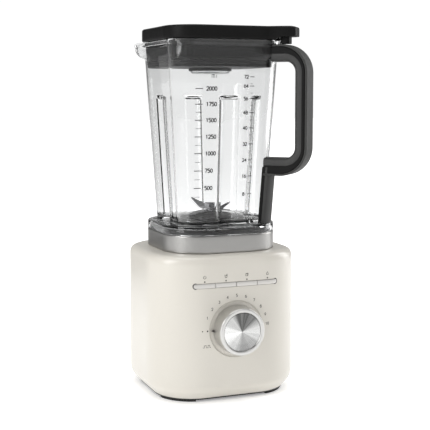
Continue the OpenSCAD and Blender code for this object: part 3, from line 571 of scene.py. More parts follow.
dish = smooth_path([(22.15, 16.0), (22.15, 18.0), (21.8, 18.25), (21.1, 18.1), (14, 17.45),
                    (7, 17.1), (0.4, 17.0)], 1, 0.4)
disc = turned("knob_face", np.concatenate([[(0.4, 16.0)], dish]), y=FRONT, z=KNOB_Z, axis="y", n=160,
              material=disc_metal, caps="ab", smooth=28)
polar_uv(disc, "round", 0, KNOB_Z)
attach(disc, "knob")
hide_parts("knob_disc")

ink = moulded("print_ink", (0.06, 0.055, 0.05), (0.075, 0.07, 0.062), 0.5, 900, 0.00002)
tab_ring = [np.column_stack([x + np.zeros(8), FRONT - np.array([0.5, 0.5, 2.4, 2.9, 2.9, 2.4, 0.5, 0.5]) * (1 if k < 2 else 0.8),
            KNOB_Z + np.array([0, -1.4, -1.4, -0.9, 0.9, 1.4, 1.4, 0]) * s])
            for k, (x, s) in enumerate(((-27.4, 1.0), (-28.6, 0.95), (-30.2, 0.5), (-30.9, 0.15)))]
pointer = surface("knob_mark", np.array(tab_ring), caps="ab", material=ink)
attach(pointer, "knob")
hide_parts("knob_pointer")

# ---------------------------------------------------------------- buttons and lamps
# Four bars of satin metal share one slot that follows the front's curve; each slides in on a
# switch. A dot of light above each shows which is on.
BAR_PITCH, BAR_HALF = 25.8, 2.6
button_metal = textured("button_metal", (0.60, 0.585, 0.56), 0.32, 1.0,
                        tones=((380, 4, (0.2, 1, 6)), (0.56, 0.545, 0.52), (0.66, 0.645, 0.62)),
                        gloss=((500, 3, (0.2, 1, 5)), 0.27, 0.4))


def front_at(x, out=0.0):
    """The y of the housing's front at a given x: flat in the middle, then the corner's arc."""
    past = np.clip(np.abs(x) - (BASE_W / 2 - BASE_R), 0, None)
    return -(BASE_D / 2 - BASE_R) - np.sqrt(np.clip((BASE_R + out) ** 2 - past ** 2, 0, None))


for k, word in enumerate(("power", "smoothie", "ice", "clean")):
    # Each bar is a grid across its face: x runs along it, and the section is a flat front with
    # rounded edges; an end that meets the slot's end narrows as a half circle.
    x0, x1 = BAR_PITCH * (k - 2) + 0.22, BAR_PITCH * (k - 1) - 0.22
    ends = np.array([0, 0.12, 0.3, 0.6, 1.0, 1.6, 2.4])
    xs = np.concatenate([x0 + ends, np.linspace(x0 + 3.2, x1 - 3.2, 16), x1 - ends[::-1]])
    half = np.full(len(xs), BAR_HALF)
    for last, from_end in ((0, xs - x0), (3, x1 - xs)):
        if k == last:
            arc = np.sqrt(np.clip(BAR_HALF ** 2 - (BAR_HALF - from_end) ** 2, 0.01, None))
            half = np.where(from_end < BAR_HALF, arc, half)
    edge = np.clip(np.minimum(xs - x0, x1 - xs) / 0.6, 0, 1)
    lift = 0.4 * np.sqrt(1 - (1 - edge) ** 2)
    face_y = front_at(xs, 0.15)
    zz = np.array([-1, -1, -0.97, -0.88, -0.7, 0, 0.7, 0.88, 0.97, 1, 1])
    proud = np.array([-8, 0, 0.55, 0.9, 1, 1, 1, 0.9, 0.55, 0, -8])
    depth = np.where(proud < 0, -76.9, face_y[:, None] - lift[:, None] * proud)
    pts = np.stack(np.broadcast_arrays(xs[:, None], depth, ROW_Z + half[:, None] * zz), -1)
    bar = surface("button_bar_" + word, pts[:, ::-1], caps="ab", material=button_metal, smooth=50)
    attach(bar, "button_" + word)
    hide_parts("button_" + word)

frame_lip = []
for out, grow in ((0.0, 0.0), (0.18, 0.1), (0.22, 0.35), (0.1, 0.6), (-0.35, 0.62), (-6.0, 0.62),
                  (-6.0, 0.0)):
    ring = slot_outline(103.5 + 2 * grow, 5.8 + 2 * grow, 0)
    ring[:, 1] = front_at(ring[:, 0], out)
    frame_lip.append(ring)
lip = surface("button_slot_rim", np.array(frame_lip), loop_v=True, material=dark_plastic, smooth=60)
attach(lip, "base")

for k in range(4):
    x = (k - 1.5) * BAR_PITCH
    dot_shape = smooth_path([(0.95, -1.2), (0.95, 0.05), (0.7, 0.2), (0.02, 0.25)], 1, 0.2)
    dot = turned("lamp_" + str(k + 1), dot_shape, x=x, y=float(front_at(np.array(x))), z=ROW_Z + 4.8,
                 axis="y", n=24, material=ink, caps="ab")
    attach(dot, "base")

# ---------------------------------------------------------------- printed marks on the front
# The numbers round the dial, two dots for off, a pulse sign and a small sign over each
# button are pad-printed in warm grey, a few hundredths of a millimetre thick.
marks = []


def stroke(points, width, closed=False):
    """A flat ribbon of even width along a path of (x, z) points, as a grid of two columns."""
    p = np.asarray(points, float)
    if closed:
        step = np.roll(p, -1, 0) - np.roll(p, 1, 0)
    else:
        step = np.gradient(p, axis=0)
    step /= np.maximum(np.linalg.norm(step, axis=1), 1e-9)[:, None]
    side = np.column_stack([-step[:, 1], step[:, 0]]) * width / 2
    return np.stack([p + side, p - side], 1), closed


def circle_points(x, z, r, a0=0, a1=360, n=24):
    """Points round (x, z) from angle a0 to a1 in degrees, anticlockwise from the right."""
    a = np.radians(np.linspace(a0, a1, n, endpoint=a1 - a0 < 360))
    return np.column_stack([x + r * np.cos(a), z + r * np.sin(a)])


def print_on(name, strokes, place, body, material, lift=0.05):
    """Lays flat ribbons on a surface: place turns (x, z) into points lifted that far off it."""
    verts, faces = [], []
    for grid, closed in strokes:
        n, start = len(grid), len(verts)
        flat = grid.reshape(-1, 2)
        verts += place(flat[:, 0], flat[:, 1], lift).tolist()
        rows = list(range(n)) + ([0] if closed else [])
        for a, b in zip(rows[:-1], rows[1:]):
            a, b = start + 2 * a, start + 2 * b
            faces.append([a + 1, b + 1, b, a])
    mesh = bpy.data.meshes.new(name)
    mesh.from_pydata((np.array(verts) * mm).tolist(), [], faces)
    obj = link(name, mesh, material)
    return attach(obj, body)


def on_front(x, z, lift):
    """Points on the housing's front face."""
    return np.column_stack([x, front_at(x, lift), z])


def disc_stroke(x, z, r):
    """A filled dot, as a ribbon round a circle as wide as the circle's radius."""
    return stroke(circle_points(x, z, r / 2, n=16), r, True)


def poly(*points, n=6):
    """A path through corner points with n steps along each line."""
    p = np.array(points, float)
    lines = [np.linspace(a, b, n, endpoint=False) for a, b in zip(p[:-1], p[1:])]
    return np.concatenate(lines + [p[-1:]])


# Each figure is drawn in a cell 2 wide and 3 high, with its middle at (0, 0).
FIGURES = {
    "0": [circle_points(0, 0, 1) * (0.85, 1.45)],
    "1": [poly((-0.5, 0.9), (0.15, 1.5), (0.15, -1.5))],
    "2": [np.concatenate([circle_points(0, 0.62, 0.88, 170, -35, 14),
                          poly((0.6, -0.05), (-0.9, -1.5), (0.95, -1.5))])],
    "3": [circle_points(0, 0.72, 0.78, 150, -85, 14), circle_points(0, -0.66, 0.86, 85, -150, 14)],
    "4": [poly((0.45, -1.5), (0.45, 1.5), (-1.0, -0.6), (1.0, -0.6))],
    "5": [poly((0.85, 1.5), (-0.65, 1.5), (-0.75, 0.15)), circle_points(-0.02, -0.55, 0.93, 130, -145, 16)],
    "6": [circle_points(0, -0.55, 0.9), np.array([(-0.88, -0.4), (-0.7, 0.5), (-0.2, 1.2), (0.4, 1.5)])],
    "7": [poly((-0.9, 1.5), (0.95, 1.5), (-0.25, -1.5))],
    "8": [circle_points(0, 0.75, 0.72), circle_points(0, -0.68, 0.86)],
    "9": [circle_points(0, 0.55, 0.9), np.array([(0.88, 0.4), (0.7, -0.5), (0.2, -1.2), (-0.4, -1.5)])],
}


def figures(text, x, z, high, width, align=0.5):
    """Strokes of a number whose figures are so high: align 0 starts it at x and 0.5 centres it.
    Paths of 24 points are full circles, and are closed."""
    made, step = [], high * 0.78
    start = x - align * step * len(text) + step / 2
    for k, mark in enumerate(text):
        for path in FIGURES[mark]:
            p = np.asarray(path) * (high / 3) + (start + k * step, z)
            made.append(stroke(p, width, len(path) == 24))
    return made


DIAL_R, PRINT_W = 38.8, 0.45
for k in range(10):
    a = math.radians(157.0 - 16.92 * k)
    marks += figures(str(k + 1), DIAL_R * math.cos(a), KNOB_Z + DIAL_R * math.sin(a), 3.1, 0.55)
marks += [disc_stroke(-35.4, KNOB_Z, 1.0), disc_stroke(-41.4, KNOB_Z, 0.75)]

# Each sign is a list of paths round its own middle, with their widths and whether they close.
pulse = poly((-4.6, -1.3), (-2.8, -1.3), (-2.8, 1.3), (-0.6, 1.3), (-0.6, -1.3), (1.6, -1.3), (1.6, 1.3),
             (3.8, 1.3), (3.8, -1.3), (5.0, -1.3))
drop_path = np.concatenate([circle_points(0, -0.5, 1.25, 140, 400, 20),
                            [(0.45, 1.3), (0, 2.1), (-0.45, 1.3)]])
SIGNS = (
    (-36.5, KNOB_Z - 17.6, [(pulse, 0.5, False)]),
    (-1.5 * BAR_PITCH, ROW_Z + 10.0, [(circle_points(0, 0, 1.6, 125, 415, 22), 0.5, False),
                                      (poly((0, 0.2), (0, 2.1)), 0.5, False)]),
    (-0.5 * BAR_PITCH, ROW_Z + 10.0, [(poly((-1.6, 1.7), (-1.0, -1.7), (1.0, -1.7), (1.6, 1.7)), 0.5, False),
                                      (poly((-1.4, 0.5), (1.4, 0.5)), PRINT_W, False),
                                      (poly((0.2, 0.5), (1.3, 2.6)), PRINT_W, False)]),
    (0.5 * BAR_PITCH, ROW_Z + 10.0, [
        (poly((-1.5, -1.2), (0.7, -1.2), (0.7, 1.0), (-1.5, 1.0), (-1.5, -1.2)), PRINT_W, False),
        (poly((-1.5, 1.0), (-0.7, 1.8), (1.5, 1.8), (1.5, -0.4), (0.7, -1.2)), PRINT_W, False),
        (poly((0.7, 1.0), (1.5, 1.8)), PRINT_W, False)]),
    (1.5 * BAR_PITCH, ROW_Z + 10.0, [(drop_path, PRINT_W, True)]))
for x, z, paths in SIGNS:
    marks += [stroke(path + np.array([x, z]), width, closed) for path, width, closed in paths]
print_on("front_print", marks, on_front, "base", ink)

# ---------------------------------------------------------------- jar
# One injection moulding in thick clear copolyester: a square jar that leans outwards, with a
# round flute drawn into each side, a hollow skirt that stands on the band, and a pouring lip.
RIM_Z, FOOT_Z, FLOOR_Z, LEAN, WALL = 414.5, 201.5, 205.0, 0.0615, 3.2


def jar_half(z):
    """Half the jar's outer width at height z: 68.2 at the rim, less 0.0615 for each millimetre down."""
    return 68.2 - LEAN * (RIM_Z - np.asarray(z, float))


def flute_depth(s, inner=0.0):
    """How far a flute draws the side inwards at distance s from the side's middle: a round of
    radius 13 plus inner, whose centre stands 6.93 outside the face, with a soft corner to the flat."""
    r = 13.0 + inner
    d = np.sqrt(np.clip(r * r - s * s, 0, None)) - 6.93 - inner - np.clip(np.abs(s) - r, 0, None)
    return 0.5 * (d + np.sqrt(d * d + 0.3))


def jar_ring(half, r, z, flute=0.0, inner=0.0, lip=0.0, ear=0.0):
    """A square ring with rounded corners. Each side holds a flute of share flute; the corner at the
    back left is drawn out by lip as a bell curve 10 wide, and the handle's corner by ear."""
    run = half - r
    s = np.concatenate([[-run, -(run + 14) / 2], np.linspace(-14, 14, 29), [(run + 14) / 2, run]])
    side = np.column_stack([half - flute * flute_depth(s, inner), s])
    a = np.linspace(0, math.pi / 2, 18)[1:-1]
    part = np.concatenate([side, np.column_stack([run + r * np.cos(a), run + r * np.sin(a)])])
    ring = np.concatenate([part @ np.array([[c, w], [-w, c]]) for c, w in ((1, 0), (0, 1), (-1, 0), (0, -1))])
    for amount, way, wide in ((lip, (-1, 1), 10.0), (ear, (1, -1), 15.0)):
        if amount:
            way = np.array(way) / math.sqrt(2)
            along, across = ring @ way, ring @ np.array([-way[1], way[0]])
            pull = amount * np.exp(-(across / wide) ** 2) * np.clip((along - 40) / 20, 0, 1)
            ring = ring + way * pull[:, None]
    return np.column_stack([ring, np.full(len(ring), z)])


def circle_ring(r, z):
    """A circle with a point on the same bearing as each point of the jar's rings."""
    like = jar_ring(55.0, 22.6, 0)
    a = np.arctan2(like[:, 1], like[:, 0])
    return np.column_stack([r * np.cos(a), r * np.sin(a), np.full(len(a), z)])


def jar_wall(z, inward=0.0, top=347.0, bead=0.0):
    """The jar's skin at height z, inward of its outside; the flute fades out over 2 mm at its top."""
    half = float(jar_half(z))
    share = float(np.clip((top + 1.0 - z) / 2.0, 0, 1))
    share = share * share * (3 - 2 * share)
    rise = (z - 406.5) / (11.5 if z < 406.5 else 16.0)
    lip = 15.5 * math.sqrt(max(0.0, 1 - rise * rise))
    ear = 4.5 * float(np.clip((z - 390.0) / 5.0, 0, 1)) ** 2
    ear *= 1 - 0.5 * float(np.clip((z - 398.0) / 16.0, 0, 1))
    return jar_ring(half - inward + bead, 28 * half / 68.2 - inward + bead, z, share, inward, lip, ear)


OUTSIDE_Z = (202.2, 203.5, 206, 212, 222, 240, 265, 290, 315, 335, 343, 345.8, 346.3, 346.8, 347.2, 347.7,
             348.2, 351, 358, 370, 380, 387, 390, 392, 394, 396, 398, 400, 403, 406, 408.5)
INSIDE_Z = (411, 407, 403, 400, 398, 396, 394, 392, 390, 387, 380, 370, 360, 354, 351.4, 350.8, 350.2,
            349.6, 349.0, 346, 335, 315, 290, 265, 240, 225, 216, 211)
rings = [circle_ring(15.2, FOOT_Z), circle_ring(16.5, FOOT_Z)]
# The skirt, as (half width, corner radius, height), from the shaft's hole out and down and up again.
rings += [jar_ring(half, r, z) for half, r, z in (
    (47.6, 21.5, FOOT_Z), (48.1, 22, 201.0), (48.1, 22, 199.0), (48.8, 22.6, 198.5), (65.6, 43.3, 198.5),
    (66.3, 44, 197.8), (66.3, 44, 191.7), (66.8, 44.5, 191.25), (68.8, 46.5, 191.25), (69.3, 47, 191.7),
    (69.3, 47, 199.6), (68.9, 46.6, 200.8), (67.9, 45.6, 201.4), (66.0, 43.6, 201.5), (60.5, 31, 201.5),
    (56.6, 24.5, 201.6))]
rings += [jar_wall(z) for z in OUTSIDE_Z]
rings += [jar_wall(z, bead=b) for z, b in ((409.3, 0.5), (409.9, 1.2), (410.8, 1.5), (412.6, 1.5),
                                           (413.8, 1.2), (414.4, 0.5))]
rings += [jar_wall(z, i) for z, i in ((RIM_Z, 0.8), (RIM_Z, 2.2), (414.1, 2.9), (413.4, WALL))]
rings += [jar_wall(z, WALL, 350.2) for z in INSIDE_Z]
foot = float(jar_half(208))
rings += [jar_ring(foot - WALL - i, 22.8 - WALL - i, z, 1.0, WALL)
          for i, z in ((0.1, 208.4), (0.7, 206.6), (1.6, 205.6), (3.0, 205.1))]
rings += [jar_ring(foot - 9.0, 15.0, FLOOR_Z), circle_ring(28, FLOOR_Z), circle_ring(15.6, FLOOR_Z),
          circle_ring(15.2, 204.6)]
jar = surface("clear_jar", rings, loop_v=True, smooth=35)

clear_plastic = textured("clear_copolyester", (0.985, 0.99, 0.99), 0.02, Transmission_Weight=1.0, IOR=1.4,
                         Specular_IOR_Level=0.32, gloss=((40, 3), 0.008, 0.045),
                         relief=((14, 2), 0.05, 0.0008))
# Painted shade: the clear plastic's colour is darkened where it is seen edge on, at the corners, flutes and spout.
tree = clear_plastic.node_tree
painted_edge_shade = spread(tree, put(tree, "LayerWeight").outputs["Facing"], 0.0, 1.0, 0.67, 0.92)
shades(tree, tree.nodes["Principled BSDF"], painted_edge_shade, (0.985, 0.99, 0.99), (0.3, 0.3, 0.3))
jar.data.materials.append(clear_plastic)
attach(jar, "jar")
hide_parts("jar")


def on_jar(x, z, lift):
    """Points on the jar's front side, in front of its flute as well as beside it."""
    share = np.clip((348.0 - z) / 2.0, 0, 1)
    return np.column_stack([x, -(jar_half(z) - share * flute_depth(np.asarray(x, float))) - lift, z])


# The scale is printed in two columns: 250 ml steps with figures and marks between, and
# eighths of the jar with small figures on the other side.
scale = []
for k, (z, half_step) in enumerate(((358.9, 8.8), (341.3, 9.1), (323.1, 9.4), (304.3, 9.6), (285.2, 9.9),
                                    (265.4, 10.0), (245.4, 10.1))):
    scale.append(stroke(poly((-42.5, z), (-33.5, z), n=3), 0.9))
    scale.append(stroke(poly((-41.5, z - half_step), (-34.5, z - half_step), n=3), 0.5))
    scale += figures(str(2000 - 250 * k), -29.5, z, 4.3, 1.1, align=0.0)
for k, z in enumerate((372.3, 361.8, 347.4, 331.5, 313.8, 295.2, 276.6, 257.9, 237.0)):
    scale.append(stroke(poly((24.0, z), (29.5, z), n=3), 0.8))
    scale += figures(str(72 - 8 * k), 19.4, z, 3.7, 0.95)
    if k < 8:
        scale.append(stroke(poly((24.5, z - 8.0), (28.0, z - 8.0), n=3), 0.4))
# The sign for millilitres stands above the left column.
scale += [stroke(poly((-23.0 + a, 371.0), (-23.0 + a, 374.6), n=3), 0.6) for a in (0.0, 1.7, 3.4, 5.6)]
scale.append(stroke(poly((-23.0, 374.6), (-19.6, 374.6), n=3), 0.6))
scale_ink = moulded("scale_ink", (0.03, 0.03, 0.03), (0.045, 0.045, 0.045), 0.6, 900, 0.00002)
print_on("jar_scale", scale, on_jar, "jar", scale_ink)

# ---------------------------------------------------------------- handle
# A black C-shaped moulding is screwed to two lugs on the jar's corner. A grey skin with a
# fine groove along each edge wraps its outside, and a softer strip lines the finger side.
CORNER = np.array([math.sqrt(0.5), -math.sqrt(0.5)])
dark_grip = moulded("handle_black", (0.012, 0.012, 0.012), (0.017, 0.017, 0.017), 0.5, 2000, 0.00005, 0.04)
grey_skin = moulded("handle_grey", (0.044, 0.044, 0.043), (0.054, 0.054, 0.053), 0.52, 2200, 0.00005, 0.14)
soft_strip = moulded("handle_soft", (0.036, 0.036, 0.0355), (0.046, 0.046, 0.045), 0.42, 1600, 0.00008, 0.25)


def corner_face(y, z):
    """How far out the jar's corner stands, along the corner's own direction, at y across it."""
    half = jar_half(z)
    r = 28 * half / 68.2
    return (half - r) * math.sqrt(2) + np.sqrt(np.clip(r * r - y * y, 1, None))


def to_world(x, y, z):
    """Turns points along, across and up the handle's corner into the frame's own axes."""
    across = np.array([-CORNER[1], CORNER[0]])
    return np.stack([x * CORNER[0] + y * across[0], x * CORNER[1] + y * across[1], z], -1)


def c_line(start, top, out, bottom, r, n=26):
    """A C-shaped line: straight out from start at height top, round an arc of radius r, straight
    down at distance out, round another arc and straight back at height bottom, 7 past start."""
    a = np.linspace(math.pi / 2, 0, n)
    first = np.column_stack([out - r + r * np.cos(a), top - r + r * np.sin(a)])
    last = np.column_stack([out - r + r * np.cos(-a[::-1]), bottom + r + r * np.sin(-a[::-1])])
    lead = np.column_stack([np.linspace(start, out - r, 10)[:-1], np.full(9, top)])
    down = np.column_stack([np.full(12, out), np.linspace(top - r, bottom + r, 14)[1:-1]])
    tail = np.column_stack([np.linspace(out - r, start - 7, 10)[1:], np.full(9, bottom)])
    return np.concatenate([lead, first, down, last, tail])


def c_bar(name, near, far, wide, outside, inside, material, hug=0.3):
    """A bar between two C-shaped lines with matching points. Its section is a rectangle with
    edges rounded by outside and inside; where it would enter the jar's corner it lies on it."""
    gap = np.linalg.norm(far - near, axis=1)
    way = (far - near) / gap[:, None]
    a = np.linspace(0, math.pi / 2, 6)
    rings = []
    for k, (su, sv) in enumerate(((1, 1), (-1, 1), (-1, -1), (1, -1))):
        t = a + k * math.pi / 2
        edge = outside if su > 0 else inside
        u = su * (gap[:, None] / 2 - edge) + edge * np.cos(t)
        v = np.broadcast_to(sv * (wide / 2 - edge) + edge * np.sin(t), u.shape)
        rings.append(np.stack([u, v], -1))
    section = np.concatenate(rings, axis=1)
    middle = (near + far) / 2
    x = middle[:, None, 0] + way[:, None, 0] * section[..., 0]
    z = middle[:, None, 1] + way[:, None, 1] * section[..., 0]
    y = section[..., 1]
    x = np.maximum(x, corner_face(y, np.clip(z, 202, 414)) + hug)
    return surface(name, to_world(x, y, z), caps="ab", material=material, smooth=38)


outer = c_line(80, 409.8, 125.85, 258.0, 33)
shell_line = c_line(80, 407.3, 123.35, 260.5, 30.5)
finger = c_line(80, 389.7, 110.35, 279.0, 12)
strip_back = c_line(80, 398.9, 119.55, 269.8, 21.2)
body = c_bar("handle_frame", strip_back, shell_line - (0.25, 0), 23.6, 1.6, 0.5, dark_grip)
skin_bar = c_bar("handle_skin", shell_line, outer, 24.0, 0.9, 0.6, grey_skin)
strip = c_bar("handle_strip", finger, strip_back, 23.4, 0.4, 4.6, soft_strip, hug=0.5)
for piece, slot, node in ((body, "black_plastic", "handle_body"), (skin_bar, "grey_skin", "handle_face"),
                          (strip, "grip_soft", "handle_grip")):
    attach(piece, "jar")
    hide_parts(node)

# The strap carries the handle's lower end down the jar's corner to the skirt.
for name, low, high, wide, material in (("handle_strap", 5.0, 8.8, 12.0, grey_skin),
                                        ("handle_strap_core", 0.3, 4.9, 11.4, dark_grip)):
    # Its section is a flat bar: the outer face between two softened edges, then the inner face.
    z = np.concatenate([[201.9, 202.1, 202.8], np.linspace(206, 262, 14), [268]])[:, None]
    edge = [(wide - 0.6, low), (wide, low + 0.6), (wide, high - 1.3), (wide - 0.8, high - 0.3), (wide - 2.4, high)]
    back = np.linspace(-wide + 0.6, wide - 0.6, 9)[1:-1]
    section = edge + [(a, high) for a in (5, 0, -5)] + [(-a, h) for a, h in edge[::-1]]
    section += [(a, low) for a in back]
    y, lift = np.array(section).T
    ease = np.array([0.75, 0.92] + [1.0] * (len(z) - 2))[:, None]
    x = corner_face(y, z) + low + (lift - low) * ease
    pts = to_world(x, np.broadcast_to(y, x.shape), np.broadcast_to(z, x.shape))
    strap = surface(name, pts, caps="ab", material=material, smooth=38)
    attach(strap, "jar")


def soft_square(n, power):
    """Cosines and sines of n even turns, pushed out from a circle towards a square by a power."""
    t = np.linspace(0, 2 * math.pi, n, endpoint=False)
    c, w = np.cos(t), np.sin(t)
    return np.stack([c, w]) * (np.abs(c) ** power + np.abs(w) ** power) ** (-1 / power)


# Two lugs of the jar reach into the handle's arms and take its screws.
for name, x0, x1, z0, z1 in (("jar_lug_upper", 80.5, 95.6, 395.2, 404.8),
                             ("jar_lug_lower", 70.5, 79.5, 264.2, 272.8)):
    ends = np.array([x0, x0 + 0.4, x1 - 1.2, x1 - 0.4, x1])
    tight = np.array([1.0, 1.0, 1.0, 0.93, 0.8])[:, None]
    c, w = soft_square(32, 6)
    pts = to_world(np.broadcast_to(ends[:, None], (5, 32)), 5.8 * tight * c,
                   (z0 + z1) / 2 + (z1 - z0) / 2 * tight * w)
    piece = surface(name, pts, caps="ab", material=clear_plastic)
    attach(piece, "jar")

# ---------------------------------------------------------------- blade unit
# Four bent blades of polished stainless steel are clamped by a nut on a shaft that runs in
# a flanged housing; a ring nut below pulls the housing down on a grey seal.
blade_steel = textured("blade_steel", (0.3, 0.3, 0.31), 0.2, 1.0, Anisotropic=0.3,
                       tones=((500, 3, (1, 6, 1)), (0.22, 0.22, 0.23), (0.36, 0.36, 0.37)),
                       gloss=((700, 3, (0.3, 5, 1)), 0.16, 0.3))
dress(blade_steel, "blade_nut")
BLADE_Z = 212.5
for node, turn, low, tilt, reach, wide in (("blade_lower", 20, 0.9, -8, 27.5, 12.2),
                                           ("blade_upper", 100, 2.8, 22, 26.5, 11.2)):
    # Along the blade r runs from tip to tip; past 11 mm it bends up or down with a short curve,
    # one edge stays straight and is ground thin, and the other sweeps round to the tip.
    r = np.concatenate([-np.linspace(1, 0, 26) ** 0.8, np.linspace(0, 1, 26)[1:] ** 0.8]) * (12 + reach)
    far = np.abs(r)
    past = np.clip(far - 11, 0, None)
    slope = math.tan(math.radians(tilt))
    rise = slope * (np.sqrt(past ** 2 + 4) - 2)
    rad = np.where(far > 11, 11 + past * math.cos(math.radians(tilt)), far) * np.sign(r)
    sweep = np.clip((far - (12 + reach) * 0.45) / ((12 + reach) * 0.55), 0, 1)
    back = -wide / 2 + (wide - 0.6) * sweep ** 2.2
    thick = 0.9
    cols = []
    for share, t in ((0.0, 0.15), (0.28, thick), (0.6, thick), (1.0, 0.7),
                     (1.0, -0.7), (0.6, -thick), (0.28, -thick), (0.0, -0.15)):
        y = (back + (wide / 2 - back) * share) * np.where(r < 0, -1, 1)
        cols.append(np.stack([rad, y, BLADE_Z + low + rise + t], -1))
    pts = np.stack(cols, 1)
    flip = r < 0
    pts[flip] = pts[flip][:, [3, 2, 1, 0, 7, 6, 5, 4]]
    c, w = math.cos(math.radians(turn)), math.sin(math.radians(turn))
    pts[..., :2] = pts[..., :2] @ np.array([[c, w], [-w, c]])
    piece = surface(node.replace("blade", "cutter"), pts[:, ::-1], caps="ab", material=blade_steel, smooth=30)
    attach(piece, "blades")
    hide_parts(node)

unit_black = moulded("unit_black", (0.012, 0.012, 0.012), (0.018, 0.018, 0.018), 0.35, 1500, 0.00005)
dress(unit_black, "bearing_housing", "jar_nut", "driven_coupler")
seal_grey = moulded("seal_grey", (0.16, 0.16, 0.16), (0.2, 0.2, 0.2), 0.6, 1200, 0.0001)
dress(seal_grey, "jar_seal")

# ---------------------------------------------------------------- lid
# The lid is one thick black moulding whose tab reaches out over the handle and rests on it
# by a peg. Below it hangs a square plug with a ribbed seal that grips the jar's inside.
lid_black = moulded("lid_black", (0.0075, 0.0075, 0.0075), (0.0105, 0.0105, 0.0105), 0.4, 1700, 0.00005, 0.08)
plug_black = moulded("plug_black", (0.010, 0.010, 0.010), (0.014, 0.014, 0.0135), 0.46, 1500, 0.00004, 0.1)
seal_black = moulded("seal_black", (0.008, 0.008, 0.008), (0.012, 0.012, 0.012), 0.5, 1300, 0.00006)
LID_HALF, LID_R, LID_LOW = 71.4, 35.0, 414.9

# The edge is given by its radius at each turn, with closer turns across the tab.
turns = np.sort(np.concatenate([np.linspace(-math.pi, math.pi, 240, endpoint=False),
                                -math.pi / 4 + np.radians(np.linspace(-17, 17, 90)) + 1e-4]))
c, w = np.abs(np.cos(turns)), np.abs(np.sin(turns))
flat = LID_HALF / np.maximum(c, w)
mid = (LID_HALF - LID_R) * (c + w)
round_part = mid + np.sqrt(np.clip(mid ** 2 - 2 * (LID_HALF - LID_R) ** 2 + LID_R ** 2, 0, None))
square = np.where(flat * np.minimum(c, w) <= LID_HALF - LID_R, flat, round_part)
off = turns + math.pi / 4
tab = ((np.abs(np.cos(off)) / 110.2) ** 5 + (np.abs(np.sin(off)) / 15.0) ** 5) ** (-1 / 5)
tab = np.where(np.cos(off) > 0.2, tab, 1.0)
edge = (square ** 14 + tab ** 14) ** (1 / 14)


def lid_ring(inset, z, towards=0.0, hub=29.0, raise_tab=0.0):
    """The lid's edge, inset along each ray, or part of the way towards the hub's circle; the tab's
    part is raised by so much past the jar."""
    r = (edge - inset) * (1 - towards) + hub * towards
    return np.column_stack([r * np.cos(turns), r * np.sin(turns), z + raise_tab * np.clip((r - 88) / 9, 0, 1)])


under = [(5.0, 0.0, 0.5), (3.4, 0.0, 0.0), (1.4, 0.05, 0.0), (0.4, 0.6, 0.0), (0.0, 1.8, 0.0)]
side = [(0, 419), (0, 424), (0, 427), (0.25, 428.4), (0.9, 429.4), (1.9, 429.9), (3.2, 430.15)]
hole = [(431.0, 28.6), (430.9, 27.9), (430.4, 27.5), (424.2, 27.4), (423.9, 25.7), (415.0, 25.7)]
rings = [lid_ring(0, LID_LOW, 1.0, 27.0)]
rings += [lid_ring(i, LID_LOW + z, t, raise_tab=2.6 + i * 0.5) for i, z, t in under]
rings += [lid_ring(i, z, raise_tab=-0.6 if z > 425 else 0.6) for i, z in side]
rings += [lid_ring(5, 430.35), lid_ring(5, 430.6, 0.35), lid_ring(5, 430.9, 0.75)]
rings += [lid_ring(0, z, 1.0, r) for z, r in hole]
lid = surface("lid_cover", rings, loop_v=True, material=lid_black, smooth=38)
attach(lid, "lid")
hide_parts("lid_plate")

c, w = soft_square(40, 5)
peg = [(410.2, 0.8), (410.3, 0.93), (410.8, 1.0), (417, 1.0), (419.5, 1.0)]
pts = [to_world(96.4 + 5.5 * k * c, 6.0 * k * w, np.full(40, h)) for h, k in peg]
piece = surface("lid_peg", pts, caps="ab", material=lid_black)
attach(piece, "lid")


def plug_ring(inset, z):
    """A ring of the jar's plan at height z, inset from its outside."""
    half = float(jar_half(z))
    return jar_ring(half - inset, 28 * half / 68.2 - inset, z)


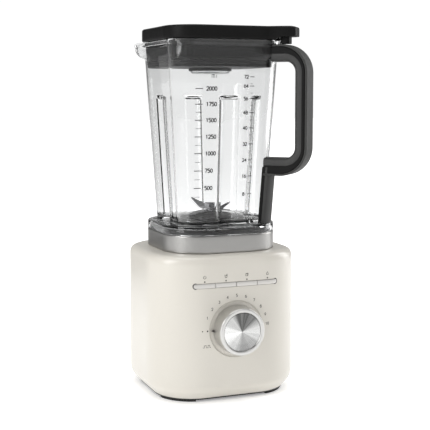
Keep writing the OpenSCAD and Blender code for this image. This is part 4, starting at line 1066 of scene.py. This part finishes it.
rings = [plug_ring(i, z) for i, z in (
    (6.2, 383.7), (5.0, 384.0), (4.5, 384.8), (4.4, 386.7), (5.5, 386.75), (5.5, 394.6), (4.4, 394.7),
    (4.4, 400), (4.4, 413.6), (4.6, 414.6), (8, 414.7))]
rings += [circle_ring(r, z) for r, z in (
    (23.8, 414.7), (23.3, 414.2), (23.3, 380.3), (23.6, 379.8), (25.0, 379.8), (25.5, 380.3),
    (25.5, 383.2), (26.0, 383.7))]
plug = surface("lid_stopper", rings, loop_v=True, material=plug_black, smooth=38)
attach(plug, "lid")
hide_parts("lid_plug")
ribs = [(5.4, 386.9), (4.4, 386.9)]
for k in range(3):
    low = 387.3 + 2.6 * k
    ribs += [(4.35, low), (3.6, low + 0.35), (3.42, low + 0.8), (3.6, low + 1.25), (4.35, low + 1.6)]
ribs += [(4.4, 394.5), (5.4, 394.5)]
gasket = surface("stopper_seal", [plug_ring(i, z) for i, z in ribs], loop_v=True, material=seal_black, smooth=38)
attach(gasket, "lid")
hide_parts("lid_gasket")

# ---------------------------------------------------------------- filler cap and cup
# A crowned black cap lies flush in the lid and carries a clear measuring cup, which can be
# turned over to measure; the two are snapped together.
cap_shape = smooth_path([(20.6, 419.6), (20.6, 423.6), (26.2, 423.9), (27.0, 424.3), (27.0, 429.9),
                         (26.7, 430.6), (25.9, 430.95), (24.0, 431.0), (16, 431.15), (8, 431.3),
                         (0.3, 431.35)], 1, 0.7)
cap = turned("filler_cap", cap_shape, n=128, material=lid_black, caps="ab")
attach(cap, "cap")
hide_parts("cap_top")
cup_clear = textured("cup_clear", (0.93, 0.94, 0.94), 0.12, Transmission_Weight=0.85, IOR=1.46,
                     gloss=((120, 3), 0.08, 0.2), relief=((600, 2), 0.1, 0.0001))
cup_shape = smooth_path([(0.3, 376.6), (21.0, 376.6), (22.6, 377.2), (23.0, 378.8), (23.0, 423.6),
                         (20.8, 423.6), (20.8, 380.4), (19.9, 379.1), (18.4, 378.7), (0.3, 378.7)], 1, 1.0)
cup = turned("cup", cup_shape, n=128, material=cup_clear, caps="ab")
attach(cup, "cap")
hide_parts("measuring_cup")
